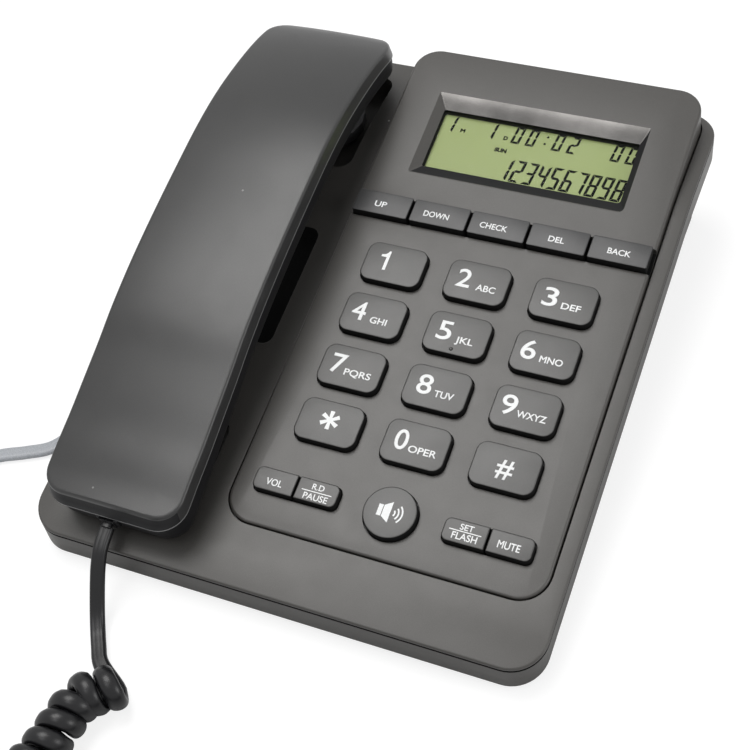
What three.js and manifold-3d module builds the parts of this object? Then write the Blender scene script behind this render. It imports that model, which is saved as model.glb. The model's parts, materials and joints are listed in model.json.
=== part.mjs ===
// A corded desk telephone with a caller display, standing on its rubber feet.
// Millimetres, +X right, +Y back, +Z up. The base is centred on the origin.

import * as THREE from "three";
import { mergeVertices } from "three/addons/utils/BufferGeometryUtils.js";
import loadManifold from "manifold-3d";

const wasm = await loadManifold();
wasm.setup();

// Clearances that every piece shares
const gap = 0.3;
const overrun = 5;
const weld = 1e-4;

// Base, seen from the side: its width and depth follow from the panel and the handset
const baseCornerRadius = 11;
const frontHeight = 12.37;
const skirtHeight = 10.37;
const deckTilt = THREE.MathUtils.degToRad(9.8);
const rearDeckDepth = 41.65;
const rearDeckDrop = 0.4;
const deckBendHalf = 8;
const deckWall = 2.4;
const skirtWall = 2.2;
const footHeight = 2;
const lowerInset = 5;
const lowerWall = 2.2;
const floorThickness = 2.4;

// Keypad panel, in its own frame: x right, y up the slope, z out of the panel
const panelTilt = THREE.MathUtils.degToRad(11);
const panelWidth = 100;
const panelFront = -95;
const panelCornerRadius = 8.7;
const panelPlate = 2;
const panelWallDepth = 3.6;
const panelGroove = 0.5;
const panelLedge = 3;
const deckFrontMargin = 20.05;
const panelBackMargin = 2.62;
const panelSideMargin = 5;

// Keys, from the panel's front edge to its back
const keyColumnMargin = 22;
const keyColumnGap = 7.8;
const keyPitchX = panelWidth / 2 - keyColumnMargin;
const keyPitchY = 19.4;
const keyRowCount = 4;
const keyWidth = keyPitchX - keyColumnGap;
const keyDepth = 14.2;
const keyRadius = 3.4;
const keyProud = 2.4;
const keyTravel = 1.3;
const keyClearance = 0.35;
const flangeMargin = 1;
const flangeThickness = 1.1;
const pipRadius = 0.55;
const pipHeight = 0.35;
const speakerKeyRadius = 8.15;
const bottomRowMargin = 14;
const bottomRowPitch = 22.8;
const bottomRowY = panelFront + bottomRowMargin;
const topRowY = bottomRowY + bottomRowPitch + (keyRowCount - 1) * keyPitchY;
const pillEndMargin = 6.5;
const pillInnerMargin = 8.35;
const pillWidth = panelWidth / 2 - pillEndMargin - speakerKeyRadius - pillInnerMargin;
const pillCentreX = panelWidth / 2 - pillEndMargin - pillWidth / 2;
const pillDepth = 7.3;
const pillRadius = 2;
const pillSplit = 0.5;
const functionRowPitch = 21.15;
const functionRowY = topRowY + functionRowPitch;
const functionRowDepth = 8.5;
const functionRowEnd = 0.4;
const functionGap = 0.85;
const functionKeyCount = 5;
const functionPitch = (panelWidth - 2 * functionRowEnd) / functionKeyCount;
const functionKeyRadius = 0.8;
const channelClearance = 0.45;
const channelDepth = 2.6;
const channelFloor = 1.6;
const functionStemMargin = 2.4;
const functionStemRadius = 0.6;
const outerFunctionX = (functionPitch * (functionKeyCount - 1)) / 2;
const functionStemHalf = panelWidth / 2 - panelLedge - keyClearance - flangeMargin - outerFunctionX;

// Display
const windowSideMargin = 16.2;
const windowWidth = panelWidth - 2 * windowSideMargin;
const windowDepth = 23.7;
const windowFrontMargin = 11.95;
const windowBackMargin = 17.65;
const bezelSide = 2.7;
const bezelTop = 5.6;
const bezelBottom = 4.2;
const bezelRadius = 1.2;
const bezelDepth = 2.8;
const bezelWall = 1.6;
const windowFront = functionRowY + functionRowDepth / 2 + windowFrontMargin + bezelBottom;
const windowY = windowFront + windowDepth / 2;
const panelBack = windowY + windowDepth / 2 + bezelTop + windowBackMargin;
const lensThickness = 1.2;
const lensMargin = 1.2;
const moduleThickness = 2.2;
const moduleMargin = 3;

// Rubber mat and circuit board
const matThickness = 1;
const matMargin = 3;
const domeRadius = 3.2;
const domeHeight = 0.9;
const boardThickness = 1.6;
const boardSideMargin = 10;
const boardWidth = panelWidth - 2 * boardSideMargin;
const boardMargin = 5;
const chipSize = 14;
const chipHeight = 2;

// Handset, in the panel's frame, at rest in its cradle
const handsetFront = -109.3;
const handsetBack = 84.5;
const handsetLength = handsetBack - handsetFront;
const handsetHeight = 28.2;
const handsetWidth = 46.6;
const cradleMargin = 3.95;
const handsetSideMargin = 7.45;
const handsetX = -panelWidth / 2 - cradleMargin - handsetWidth / 2;
const handsetTopInset = 0.55;
const handsetEndInset = 2.1;
const handsetEdge = 0.4;
const handsetCrown = 0.9;
const handsetRadius = 9;
const handsetFarRadius = 12;
const handsetRimDrop = 5.2;
const handsetWall = 2.2;
const lowerSideHeight = 7.4;
const lowerNearDepth = 1.7;
const lowerNearReach = 50;
const lowerNearStart = -54;
const lowerShellInset = 0.4;
const lowerShellTuck = 1;
const lowerShellBelly = 1.6;
const lowerShellRound = 3.2;
const bossHalfWidth = 17.5;
const bossRadius = 7;
const bossWall = 2;
const mouthBossFront = -102.5;
const mouthBossBack = -65.5;
const earBossFront = 37;
const earBossBack = 77.5;
const bossRise = 5;

// The base is as wide as the panel and the handset side by side, and as deep as the panel needs
const baseWidth = panelSideMargin + panelWidth + cradleMargin + handsetWidth + handsetSideMargin;
const deckFrontOnPanel = panelFront - deckFrontMargin;
const baseDepth = (panelBack - deckFrontOnPanel + panelBackMargin) * Math.cos(panelTilt);
const panelCentreX = baseWidth / 2 - panelSideMargin - panelWidth / 2;
const cradleX = handsetX + panelCentreX;

// Height of the handset's top along its length, as shares of the length and the height
const handsetTopShares = [
  [0.0108, 0.603], [0.0841, 0.652], [0.1821, 0.762], [0.2801, 0.865], [0.3822, 0.95],
  [0.4951, 1], [0.6192, 1], [0.722, 0.945], [0.7966, 0.872], [0.8638, 0.74],
  [0.9205, 0.574], [0.9592, 0.426], [0.983, 0.294], [0.9954, 0.163],
];

// Cradle wells in the deck
const wellClearance = 1.25;
const earWellFloor = 31.5;
const wellFloorWall = 2;
const mouthWellDepth = 2.2;
const gripWellHalfWidth = 19;
const gripWellFront = -36;
const gripWellBack = 10;
const gripWellDepth = 4;
const gripWellRadius = 3.5;

// Hook switch
const plungerX = cradleX;
const plungerBackMargin = 40.15;
const plungerY = baseDepth / 2 - plungerBackMargin;
const plungerWidth = 8;
const plungerDepth = 4;
const plungerTravel = 3.5;
const plungerStem = 13;
const plungerFlange = 1.2;
const plungerFlangeThickness = 1.2;
const hookSwitchWidth = 13;
const hookSwitchDepth = 7;
const hookSwitchHeight = 7;

// Inside the base
const speakerRadius = 18;
const speakerX = cradleX;
const speakerY = -8;
const speakerMagnetRadius = 10;
const speakerRim = 3.5;
const speakerHeight = 10;
const speakerSlotCount = 5;
const speakerSlotWidth = 1.6;
const speakerSlotLength = 22;
const speakerSlotPitch = 4.4;
const speakerRingGap = 0.8;
const speakerRingWall = 1.4;
const speakerRingHeight = 3;
const doorWidth = 30;
const doorThickness = 1.7;
const doorOffset = 2.5;
const doorX = panelCentreX - doorOffset;
const doorBackMargin = 44.15;
const doorY = baseDepth / 2 - doorBackMargin;
const doorTravel = 6;
const doorLedge = 2.4;
const batteryRadius = 5.2;
const batteryLength = 44;
const doorEndMargin = 5;
const doorLength = batteryLength + 2 * doorEndMargin;
const batteryTip = 1;
const batteryTipRadius = 2.5;
const compartmentWall = 1.6;
const footRadius = 6;
const footSeat = 1;
const footSideMargin = 15.5;
const footEndMargin = 18.15;
const footX = baseWidth / 2 - footSideMargin;
const footY = baseDepth / 2 - footEndMargin;
const screwSideMargin = 31.5;
const screwFrontMargin = 14.15;
const screwRearMargin = 16.15;
const screwWellMargin = 5;
const screwX = baseWidth / 2 - screwSideMargin;
const screwRearLeftX = cradleX + bossHalfWidth + wellClearance + screwWellMargin;
const screwFrontY = screwFrontMargin - baseDepth / 2;
const screwRearY = baseDepth / 2 - screwRearMargin;
const screwHeadRadius = 2.6;
const screwHeadHeight = 1.5;
const screwShankRadius = 1.4;
const screwLength = 6;
const bossOuterRadius = 3.6;
const bossFloorRadius = 4.2;
const bossFloorHeight = 1.4;

// Sockets and plugs
const lineJackOffset = 0.75;
const lineJackX = cradleX + lineJackOffset;
const lineJackWidth = 13.4;
const lineJackHeight = 12.6;
const lineJackDepth = 15;
const lineJackZ = 5.6;
const handsetJackY = 22;
const handsetJackZ = 5.4;
const handsetJackWidth = 11.6;
const handsetJackHeight = 11;
const handsetJackDepth = 14;
const jackWall = 1.4;
const jackLip = 0.8;
const linePlugWidth = 9.65;
const linePlugHeight = 6.6;
const linePlugLength = 12.3;
const handsetPlugWidth = 7.65;
const handsetPlugHeight = 6.6;
const handsetPlugLength = 12;
const plugTail = 3.2;
const latchWidth = 3;
const latchThickness = 0.9;
const latchLength = 9;
const latchLift = 1.1;

// Inside the handset
const receiverRadius = 14.5;
const receiverHeight = 8;
const microphoneRadius = 4.8;
const microphoneHeight = 5;
const weightLength = 52;
const weightWidth = 22;
const weightHeight = 4.4;
const socketWallThickness = 1.2;
const socketX = -78.5;
const socketHeightOnPanel = 7;

// Handset cord: cable, curls and how far the curls are stretched
const cordRadius = 2.2;
const curlPitch = 6.4;
const curlRadius = 4.9;
const curlSteps = 8;
const curlSides = 5;
const leadSides = 8;
const leadSteps = 20;
const coilSpare = 0.9;

// Line cord: a flat cable, most of it put away in a round coil
const lineWidth = 4.9;
const lineThickness = 2.4;
const lineSteps = 38;
const coilTurns = 9;
const coilSteps = 20;
const coilSides = 6;
const coilLayers = 3;
const coilRadius = 25.5;
const coilPitch = 3.8;
const coilPlugLift = 4.8;
const coilCentreX = -153;
const coilCentreY = -97;

// The panel's frame: its origin is the middle of the top row of digits
const panelFrame = new THREE.Matrix4()
  .makeRotationX(panelTilt)
  .setPosition(
    panelCentreX,
    -baseDepth / 2 - deckFrontOnPanel * Math.cos(panelTilt),
    frontHeight - deckFrontOnPanel * Math.sin(panelTilt),
  );

function onPanel(x, y, z) {
  return new THREE.Vector3(x, y, z).applyMatrix4(panelFrame);
}

function panelHeightAt(yOnPanel, worldZ) {
  const base = onPanel(0, yOnPanel, 0);
  return (worldZ - base.z) / Math.cos(panelTilt);
}

// Solids and booleans

function toSolid(geometry) {
  const plain = geometry.clone();
  plain.deleteAttribute("normal");
  plain.deleteAttribute("uv");
  const welded = mergeVertices(plain, weld);
  return new wasm.Manifold(new wasm.Mesh({
    numProp: 3,
    vertProperties: new Float32Array(welded.attributes.position.array),
    triVerts: new Uint32Array(welded.index.array),
  }));
}

function join(...parts) {
  return parts.reduce((whole, part) => whole.add(part));
}

function cut(whole, ...tools) {
  return tools.reduce((rest, tool) => rest.subtract(tool), whole);
}

function common(...parts) {
  return parts.reduce((whole, part) => whole.intersect(part));
}

function toGeometry(manifold) {
  const mesh = manifold.getMesh();
  const geometry = new THREE.BufferGeometry();
  const positions = new Float32Array(mesh.numVert * 3);
  for (let i = 0; i < mesh.numVert; i += 1) {
    for (let axis = 0; axis < 3; axis += 1) {
      positions[3 * i + axis] = mesh.vertProperties[mesh.numProp * i + axis];
    }
  }
  geometry.setAttribute("position", new THREE.BufferAttribute(positions, 3));
  geometry.setIndex(new THREE.BufferAttribute(new Uint32Array(mesh.triVerts), 1));
  geometry.computeVertexNormals();
  return geometry;
}

// Basic shapes

function roundedOutline(width, depth, radius, farRadius = radius) {
  const shape = new THREE.Shape();
  const x = width / 2 - radius;
  const y = depth / 2 - radius;
  const farX = width / 2 - farRadius;
  const farY = depth / 2 - farRadius;
  shape.moveTo(-x, -y - radius);
  shape.lineTo(x, -y - radius);
  shape.absarc(x, -y, radius, -Math.PI / 2, 0, false);
  shape.lineTo(farX + farRadius, farY);
  shape.absarc(farX, farY, farRadius, 0, Math.PI / 2, false);
  shape.lineTo(-farX, farY + farRadius);
  shape.absarc(-farX, farY, farRadius, Math.PI / 2, Math.PI, false);
  shape.lineTo(-x - radius, -y);
  shape.absarc(-x, -y, radius, Math.PI, 1.5 * Math.PI, false);
  return shape;
}

// A pill cut down its middle: round corners on the outer side only
function halfPillOutline(width, depth, radius, side) {
  const shape = new THREE.Shape();
  const y = depth / 2;
  shape.moveTo(0, -y);
  if (side > 0) {
    shape.lineTo(width - radius, -y);
    shape.absarc(width - radius, radius - y, radius, -Math.PI / 2, 0, false);
    shape.absarc(width - radius, y - radius, radius, 0, Math.PI / 2, false);
    shape.lineTo(0, y);
  } else {
    shape.lineTo(0, y);
    shape.lineTo(radius - width, y);
    shape.absarc(radius - width, y - radius, radius, Math.PI / 2, Math.PI, false);
    shape.absarc(radius - width, radius - y, radius, Math.PI, 1.5 * Math.PI, false);
  }
  return shape;
}

function discOutline(radius) {
  const shape = new THREE.Shape();
  shape.absarc(0, 0, radius, 0, 2 * Math.PI, false);
  return shape;
}

function plate(shape, x, y, low, high, segments = 4) {
  const geometry = new THREE.ExtrudeGeometry(shape, {
    depth: high - low,
    bevelEnabled: false,
    curveSegments: segments,
  });
  geometry.translate(x, y, low);
  return geometry;
}

function slab(shape, x, y, low, high, segments = 3) {
  return toSolid(plate(shape, x, y, low, high, segments));
}

function disc(radius, x, y, low, high, segments = 5) {
  return slab(discOutline(radius), x, y, low, high, segments);
}

function block(x0, x1, y0, y1, z0, z1) {
  const geometry = new THREE.BoxGeometry(x1 - x0, y1 - y0, z1 - z0);
  geometry.translate((x0 + x1) / 2, (y0 + y1) / 2, (z0 + z1) / 2);
  return toSolid(geometry);
}

// A side view of [y, z] points, given its width along X
function sideGeometry(points, left, right) {
  const shape = new THREE.Shape(points.map(([y, z]) => new THREE.Vector2(y, z)));
  const geometry = new THREE.ExtrudeGeometry(shape, { depth: right - left, bevelEnabled: false });
  const axes = new THREE.Matrix4().makeBasis(
    new THREE.Vector3(0, 1, 0),
    new THREE.Vector3(0, 0, 1),
    new THREE.Vector3(1, 0, 0),
  );
  geometry.applyMatrix4(axes);
  geometry.translate(left, 0, 0);
  return geometry;
}

// Rings of equal length, joined in order and closed by a fan at each end
function loftGeometry(rings) {
  const count = rings[0].length;
  const positions = [];
  const faces = [];
  rings.forEach((ring) => ring.forEach((point) => positions.push(point.x, point.y, point.z)));
  for (let k = 0; k < rings.length - 1; k += 1) {
    const here = k * count;
    const next = here + count;
    for (let i = 0; i < count; i += 1) {
      const j = (i + 1) % count;
      faces.push(here + i, next + j, next + i);
      faces.push(here + i, here + j, next + j);
    }
  }
  const last = (rings.length - 1) * count;
  for (let i = 1; i < count - 1; i += 1) {
    faces.push(0, i + 1, i);
    faces.push(last, last + i, last + i + 1);
  }
  const geometry = new THREE.BufferGeometry();
  geometry.setAttribute("position", new THREE.Float32BufferAttribute(positions, 3));
  geometry.setIndex(signedVolume(positions, faces) < 0 ? faces.reverse() : faces);
  return geometry;
}

// Six times the volume, negative where the faces point inwards
function signedVolume(positions, faces) {
  const corner = (index) => new THREE.Vector3().fromArray(positions, 3 * index);
  let sum = 0;
  for (let i = 0; i < faces.length; i += 3) {
    sum += corner(faces[i]).dot(corner(faces[i + 1]).cross(corner(faces[i + 2])));
  }
  return sum;
}

// Materials, one new one for every node
function material(colour, roughness, metalness = 0) {
  return new THREE.MeshStandardMaterial({ color: colour, roughness, metalness });
}

const housingPlastic = () => material(0x3a3a3b, 0.5);
const keyPlastic = () => material(0x343435, 0.45);
const cordPlastic = () => material(0x1b1b1d, 0.4);
const greyCordPlastic = () => material(0xb4b7bd, 0.4);
const clearPlastic = () => material(0xd9dde0, 0.1);
const rubber = () => material(0x161616, 0.85);
const greyRubber = () => material(0x9a9d9c, 0.8);
const steel = () => material(0xb9bcc0, 0.35, 1);
const boardGreen = () => material(0x2f5d3a, 0.6);
const displayGlass = () => material(0xa0aa70, 0.3);

const phone = new THREE.Group();
phone.name = "corded_telephone";
const panelGroup = new THREE.Group();
panelGroup.applyMatrix4(panelFrame);
phone.add(panelGroup);

function addNode(parent, name, shape, look) {
  const geometry = shape instanceof THREE.BufferGeometry ? shape : toGeometry(shape);
  const mesh = new THREE.Mesh(geometry, look);
  mesh.name = name;
  parent.add(mesh);
  return mesh;
}

function inWorld(geometry) {
  return toSolid(geometry.clone().applyMatrix4(panelFrame));
}

function inPanel(geometry) {
  return toSolid(geometry.clone().applyMatrix4(panelFrame.clone().invert()));
}

// The deck's side view: a long slope, a soft bend and a level rear

const deckFront = -baseDepth / 2;
const deckBack = baseDepth / 2;
const bendY = deckBack - rearDeckDepth;

function slopeZ(y) {
  return frontHeight + (y - deckFront) * Math.tan(deckTilt);
}

function rearZ(y) {
  return slopeZ(bendY) - (rearDeckDrop * (y - bendY)) / rearDeckDepth;
}

function deckLine(drop, front = deckFront - overrun, back = deckBack + overrun) {
  const points = [[front, slopeZ(front) - drop]];
  const start = new THREE.Vector2(bendY - deckBendHalf, slopeZ(bendY - deckBendHalf));
  const middle = new THREE.Vector2(bendY, slopeZ(bendY));
  const end = new THREE.Vector2(bendY + deckBendHalf, rearZ(bendY + deckBendHalf));
  const bend = new THREE.QuadraticBezierCurve(start, middle, end);
  bend.getPoints(5).forEach((point) => points.push([point.x, point.y - drop]));
  points.push([back, rearZ(back) - drop]);
  return points;
}

function betweenDeckLines(upperDrop, lowerDrop, halfWidth) {
  const outline = [...deckLine(lowerDrop), ...deckLine(upperDrop).reverse()];
  return sideGeometry(outline, -halfWidth, halfWidth);
}

function belowDeckLine(drop, floor, halfWidth) {
  const front = deckFront - overrun;
  const back = deckBack + overrun;
  const outline = [[front, floor], [back, floor], ...deckLine(drop).reverse()];
  return sideGeometry(outline, -halfWidth, halfWidth);
}

function aboveDeckLine(drop, ceiling, halfWidth) {
  const front = deckFront - overrun;
  const back = deckBack + overrun;
  const outline = [...deckLine(drop), [back, ceiling], [front, ceiling]];
  return sideGeometry(outline, -halfWidth, halfWidth);
}

const high = 4 * frontHeight + skirtHeight + overrun;
const wide = baseWidth / 2 + overrun;
const panelMiddleY = (panelFront + panelBack) / 2;
const panelLength = panelBack - panelFront;

function panelOutline(grow) {
  return roundedOutline(panelWidth + 2 * grow, panelLength + 2 * grow, panelCornerRadius + grow);
}

function panelPrism(grow, low, top) {
  return plate(panelOutline(grow), 0, panelMiddleY, low, top, 5);
}

// Where the handset's wells lie, in the base's frame
const wellHalfWidth = bossHalfWidth + wellClearance;
const earWellFrontY = onPanel(0, earBossFront, 0).y - wellClearance;
const mouthWellFrontY = onPanel(0, mouthBossFront, 0).y - wellClearance;
const mouthWellBackY = onPanel(0, mouthBossBack, 0).y + wellClearance;
const gripFrontY = onPanel(0, gripWellFront, 0).y;
const gripBackY = onPanel(0, gripWellBack, 0).y;

function wellOutline(front, back, halfWidth, radius) {
  return [roundedOutline(2 * halfWidth, back - front, radius), (front + back) / 2];
}

function wellSlab(front, back, halfWidth, radius, low, top) {
  const [shape, middle] = wellOutline(front, back, halfWidth, radius);
  return slab(shape, cradleX, middle, low, top);
}

function screwPlaces() {
  return [
    ["front_left", -screwX, screwFrontY],
    ["front_right", screwX, screwFrontY],
    ["rear_left", screwRearLeftX, screwRearY],
    ["rear_right", screwX, screwRearY],
  ];
}

function footPlaces() {
  return [
    ["front_left", -footX, -footY],
    ["front_right", footX, -footY],
    ["rear_left", -footX, footY],
    ["rear_right", footX, footY],
  ];
}

const floorTop = footHeight + floorThickness;
const bossFloorTop = floorTop + bossFloorHeight;

function buildUpperHousing() {
  const outline = roundedOutline(baseWidth, baseDepth, baseCornerRadius);
  const body = common(
    toSolid(betweenDeckLines(0, skirtHeight, wide)),
    slab(outline, 0, 0, -overrun, high, 5),
  );
  const innerOutline = roundedOutline(
    baseWidth - 2 * skirtWall,
    baseDepth - 2 * skirtWall,
    baseCornerRadius - skirtWall,
  );
  const cavity = common(
    toSolid(belowDeckLine(deckWall, -overrun, wide)),
    slab(innerOutline, 0, 0, -overrun, high, 5),
  );
  const hollow = cut(body, cavity);

  // A ledge all round the panel's opening carries the panel's walls
  const ledgeRing = cut(
    common(
      inWorld(panelPrism(panelGroove + deckWall, -high, high)),
      toSolid(betweenDeckLines(deckWall - gap, panelWallDepth + gap + deckWall, wide)),
      slab(innerOutline, 0, 0, -overrun, high, 5),
    ),
    inWorld(panelPrism(-panelLedge, -high, high)),
  );
  const panelPocket = common(
    inWorld(panelPrism(panelGroove, -high, high)),
    toSolid(aboveDeckLine(panelWallDepth + gap, high, wide)),
  );
  const panelOpening = inWorld(panelPrism(-panelLedge, -high, high));

  // Tubs under the three wells of the cradle
  const tubHalf = wellHalfWidth + wellFloorWall;
  const earTub = common(
    wellSlab(
      earWellFrontY - wellFloorWall,
      earWellBackY + wellFloorWall,
      tubHalf,
      bossRadius,
      earWellFloor - wellFloorWall,
      high,
    ),
    toSolid(belowDeckLine(gap, -overrun, wide)),
    slab(outline, 0, 0, -overrun, high, 5),
  );
  const earPocket = wellSlab(
    earWellFrontY,
    earWellBackY,
    wellHalfWidth,
    bossRadius - wellFloorWall,
    earWellFloor,
    high,
  );
  const mouthTub = common(
    wellSlab(
      mouthWellFrontY - wellFloorWall,
      mouthWellBackY + wellFloorWall,
      tubHalf,
      bossRadius,
      -overrun,
      high,
    ),
    toSolid(betweenDeckLines(gap, mouthWellDepth + wellFloorWall, wide)),
  );
  const mouthPocket = common(
    wellSlab(
      mouthWellFrontY,
      mouthWellBackY,
      wellHalfWidth,
      bossRadius,
      -overrun,
      high,
    ),
    toSolid(aboveDeckLine(mouthWellDepth, high, wide)),
  );
  const gripTub = common(
    wellSlab(
      gripFrontY - wellFloorWall,
      gripBackY + wellFloorWall,
      gripWellHalfWidth + wellFloorWall,
      gripWellRadius,
      -overrun,
      high,
    ),
    toSolid(betweenDeckLines(gap, gripWellDepth + wellFloorWall, wide)),
  );
  const gripPocket = common(
    wellSlab(gripFrontY, gripBackY, gripWellHalfWidth, gripWellRadius, -overrun, high),
    toSolid(aboveDeckLine(gripWellDepth, high, wide)),
  );

  // Screw posts reach down to the floor's own bosses
  const posts = screwPlaces().map(([, x, y]) => common(
    disc(bossOuterRadius, x, y, bossFloorTop + gap, high),
    toSolid(belowDeckLine(gap, -overrun, wide)),
  ));
  const postHoles = screwPlaces().map(([, x, y]) => disc(
    screwShankRadius + gap / 2,
    x,
    y,
    -overrun,
    screwTop() + gap,
  ));
  const plungerHole = slab(
    roundedOutline(plungerWidth + 2 * keyClearance, plungerDepth + 2 * keyClearance, 1),
    plungerX,
    plungerY,
    earWellFloor - 2 * wellFloorWall,
    high,
  );
  return cut(
    join(hollow, ledgeRing, earTub, mouthTub, gripTub, ...posts),
    panelPocket,
    panelOpening,
    earPocket,
    mouthPocket,
    gripPocket,
    plungerHole,
    ...postHoles,
  );
}

function screwTop() {
  return footHeight + screwHeadHeight + screwLength;
}

function lowerOutline(inset) {
  const grow = -2 * (lowerInset + inset);
  return roundedOutline(
    baseWidth + grow,
    baseDepth + grow,
    Math.max(baseCornerRadius - lowerInset - inset, lowerWall),
  );
}

const doorSeat = footHeight + doorThickness + gap;
const compartmentTop = doorSeat + doorLedge + 2 * batteryRadius + gap;

function buildLowerHousing() {
  const rimDrop = deckWall + gap;
  const shell = common(
    toSolid(belowDeckLine(rimDrop, footHeight, wide)),
    slab(lowerOutline(0), 0, 0, footHeight, high, 4),
  );
  const hollow = slab(lowerOutline(lowerWall), 0, 0, floorTop, high, 4);
  let body = cut(shell, hollow);

  // Battery compartment, open downwards under its sliding door
  const halfDoor = doorWidth / 2;
  const doorFront = doorY - doorLength / 2;
  const doorBack = doorY + doorLength / 2;
  const box = block(
    doorX - halfDoor - compartmentWall,
    doorX + halfDoor + compartmentWall,
    doorFront - compartmentWall,
    doorBack + doorTravel + compartmentWall,
    footHeight,
    compartmentTop + compartmentWall,
  );
  const doorRecess = block(
    doorX - halfDoor - gap,
    doorX + halfDoor + gap,
    doorFront - gap,
    doorBack + doorTravel + gap,
    -overrun,
    doorSeat,
  );
  const cellSpace = block(
    doorX - halfDoor + doorLedge,
    doorX + halfDoor - doorLedge,
    doorFront + doorLedge,
    doorBack - doorLedge,
    -overrun,
    compartmentTop,
  );
  const ringInner = speakerRadius + speakerRingGap;
  const ringTop = floorTop + speakerRingHeight;
  const bosses = screwPlaces().map(([, x, y]) => disc(bossFloorRadius, x, y, footHeight, bossFloorTop));
  const ring = cut(
    disc(ringInner + speakerRingWall, speakerX, speakerY, footHeight, ringTop, 10),
    disc(ringInner, speakerX, speakerY, floorTop, high, 10),
  );
  const jackShelf = block(
    lineJackX - lineJackWidth / 2,
    lineJackX + lineJackWidth / 2,
    deckBack - lowerInset - lineJackDepth,
    deckBack - lowerInset - lowerWall / 2,
    floorTop - gap,
    lineJackZ - gap,
  );
  body = join(body, box, ring, jackShelf, ...bosses);
  body = cut(body, doorRecess, cellSpace);

  const footRecesses = footPlaces().map(([, x, y]) => disc(
    footRadius + gap,
    x,
    y,
    -overrun,
    footHeight + footSeat,
  ));
  const headRecesses = screwPlaces().map(([, x, y]) => disc(
    screwHeadRadius + gap,
    x,
    y,
    -overrun,
    footHeight + screwHeadHeight + gap,
  ));
  const shankHoles = screwPlaces().map(([, x, y]) => disc(screwShankRadius + gap, x, y, -overrun, high));
  const slots = [];
  for (let i = 0; i < speakerSlotCount; i += 1) {
    const x = speakerX + (i - (speakerSlotCount - 1) / 2) * speakerSlotPitch;
    slots.push(block(
      x - speakerSlotWidth / 2,
      x + speakerSlotWidth / 2,
      speakerY - speakerSlotLength / 2,
      speakerY + speakerSlotLength / 2,
      -overrun,
      floorTop + gap,
    ));
  }

  // Room for the rear well's tub, the line socket and the handset socket
  const tubHalf = wellHalfWidth + wellFloorWall + gap;
  const tubRoom = block(
    cradleX - tubHalf,
    cradleX + tubHalf,
    earWellFrontY - wellFloorWall - gap,
    earWellBackY + wellFloorWall + gap,
    earWellFloor - wellFloorWall - gap,
    high,
  );
  const lineWindow = block(
    lineJackX - lineJackWidth / 2 - gap,
    lineJackX + lineJackWidth / 2 + gap,
    deckBack - lowerInset - lowerWall - overrun,
    deckBack + overrun,
    lineJackZ - gap,
    lineJackZ + lineJackHeight + gap,
  );
  const handsetWindow = block(
    -baseWidth / 2 - overrun,
    -baseWidth / 2 + lowerInset + lowerWall + overrun,
    handsetJackY - handsetJackWidth / 2 - gap,
    handsetJackY + handsetJackWidth / 2 + gap,
    handsetJackZ - gap,
    handsetJackZ + handsetJackHeight + gap,
  );
  const deckRoomFront = common(
    wellSlab(
      mouthWellFrontY - wellFloorWall - gap,
      mouthWellBackY + wellFloorWall + gap,
      tubHalf,
      bossRadius,
      -overrun,
      high,
    ),
    toSolid(aboveDeckLine(mouthWellDepth + wellFloorWall + gap, high, wide)),
  );
  const panelRoom = common(
    inWorld(panelPrism(panelGroove + deckWall + gap, -high, high)),
    toSolid(aboveDeckLine(panelWallDepth + deckWall + 2 * gap, high, wide)),
  );
  return cut(
    body,
    tubRoom,
    lineWindow,
    handsetWindow,
    deckRoomFront,
    panelRoom,
    ...footRecesses,
    ...headRecesses,
    ...shankHoles,
    ...slots,
  );
}

// Keys: where each one is, its outline and the opening it moves in

const halfPillWidth = (pillWidth - pillSplit) / 2;

function digitKeys() {
  const names = [
    ["key_1", "key_2", "key_3"],
    ["key_4", "key_5", "key_6"],
    ["key_7", "key_8", "key_9"],
    ["key_star", "key_0", "key_hash"],
  ];
  const keys = [];
  names.forEach((row, down) => row.forEach((name, across) => {
    keys.push({ name, x: (across - 1) * keyPitchX, y: topRowY - down * keyPitchY });
  }));
  return keys;
}

function keyOutline(grow) {
  return roundedOutline(keyWidth + 2 * grow, keyDepth + 2 * grow, keyRadius + grow);
}

function pillHalves() {
  return [
    { name: "volume_key", x: -pillCentreX, side: -1 },
    { name: "redial_pause_key", x: -pillCentreX, side: 1 },
    { name: "set_flash_key", x: pillCentreX, side: -1 },
    { name: "mute_key", x: pillCentreX, side: 1 },
  ];
}

function functionKeys() {
  const names = ["up_key", "down_key", "check_key", "delete_key", "back_key"];
  return names.map((name, index) => ({
    name,
    x: (index - (functionKeyCount - 1) / 2) * functionPitch,
    width: functionPitch - functionGap,
  }));
}

const flangeTop = -panelPlate - gap;
const flangeBottom = flangeTop - flangeThickness;

function steppedKey(cap, flange, x, y, capSides = 2, flangeSides = 1) {
  return join(
    slab(cap, x, y, flangeTop - gap, keyProud, capSides),
    slab(flange, x, y, flangeBottom, flangeTop, flangeSides),
  );
}

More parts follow.
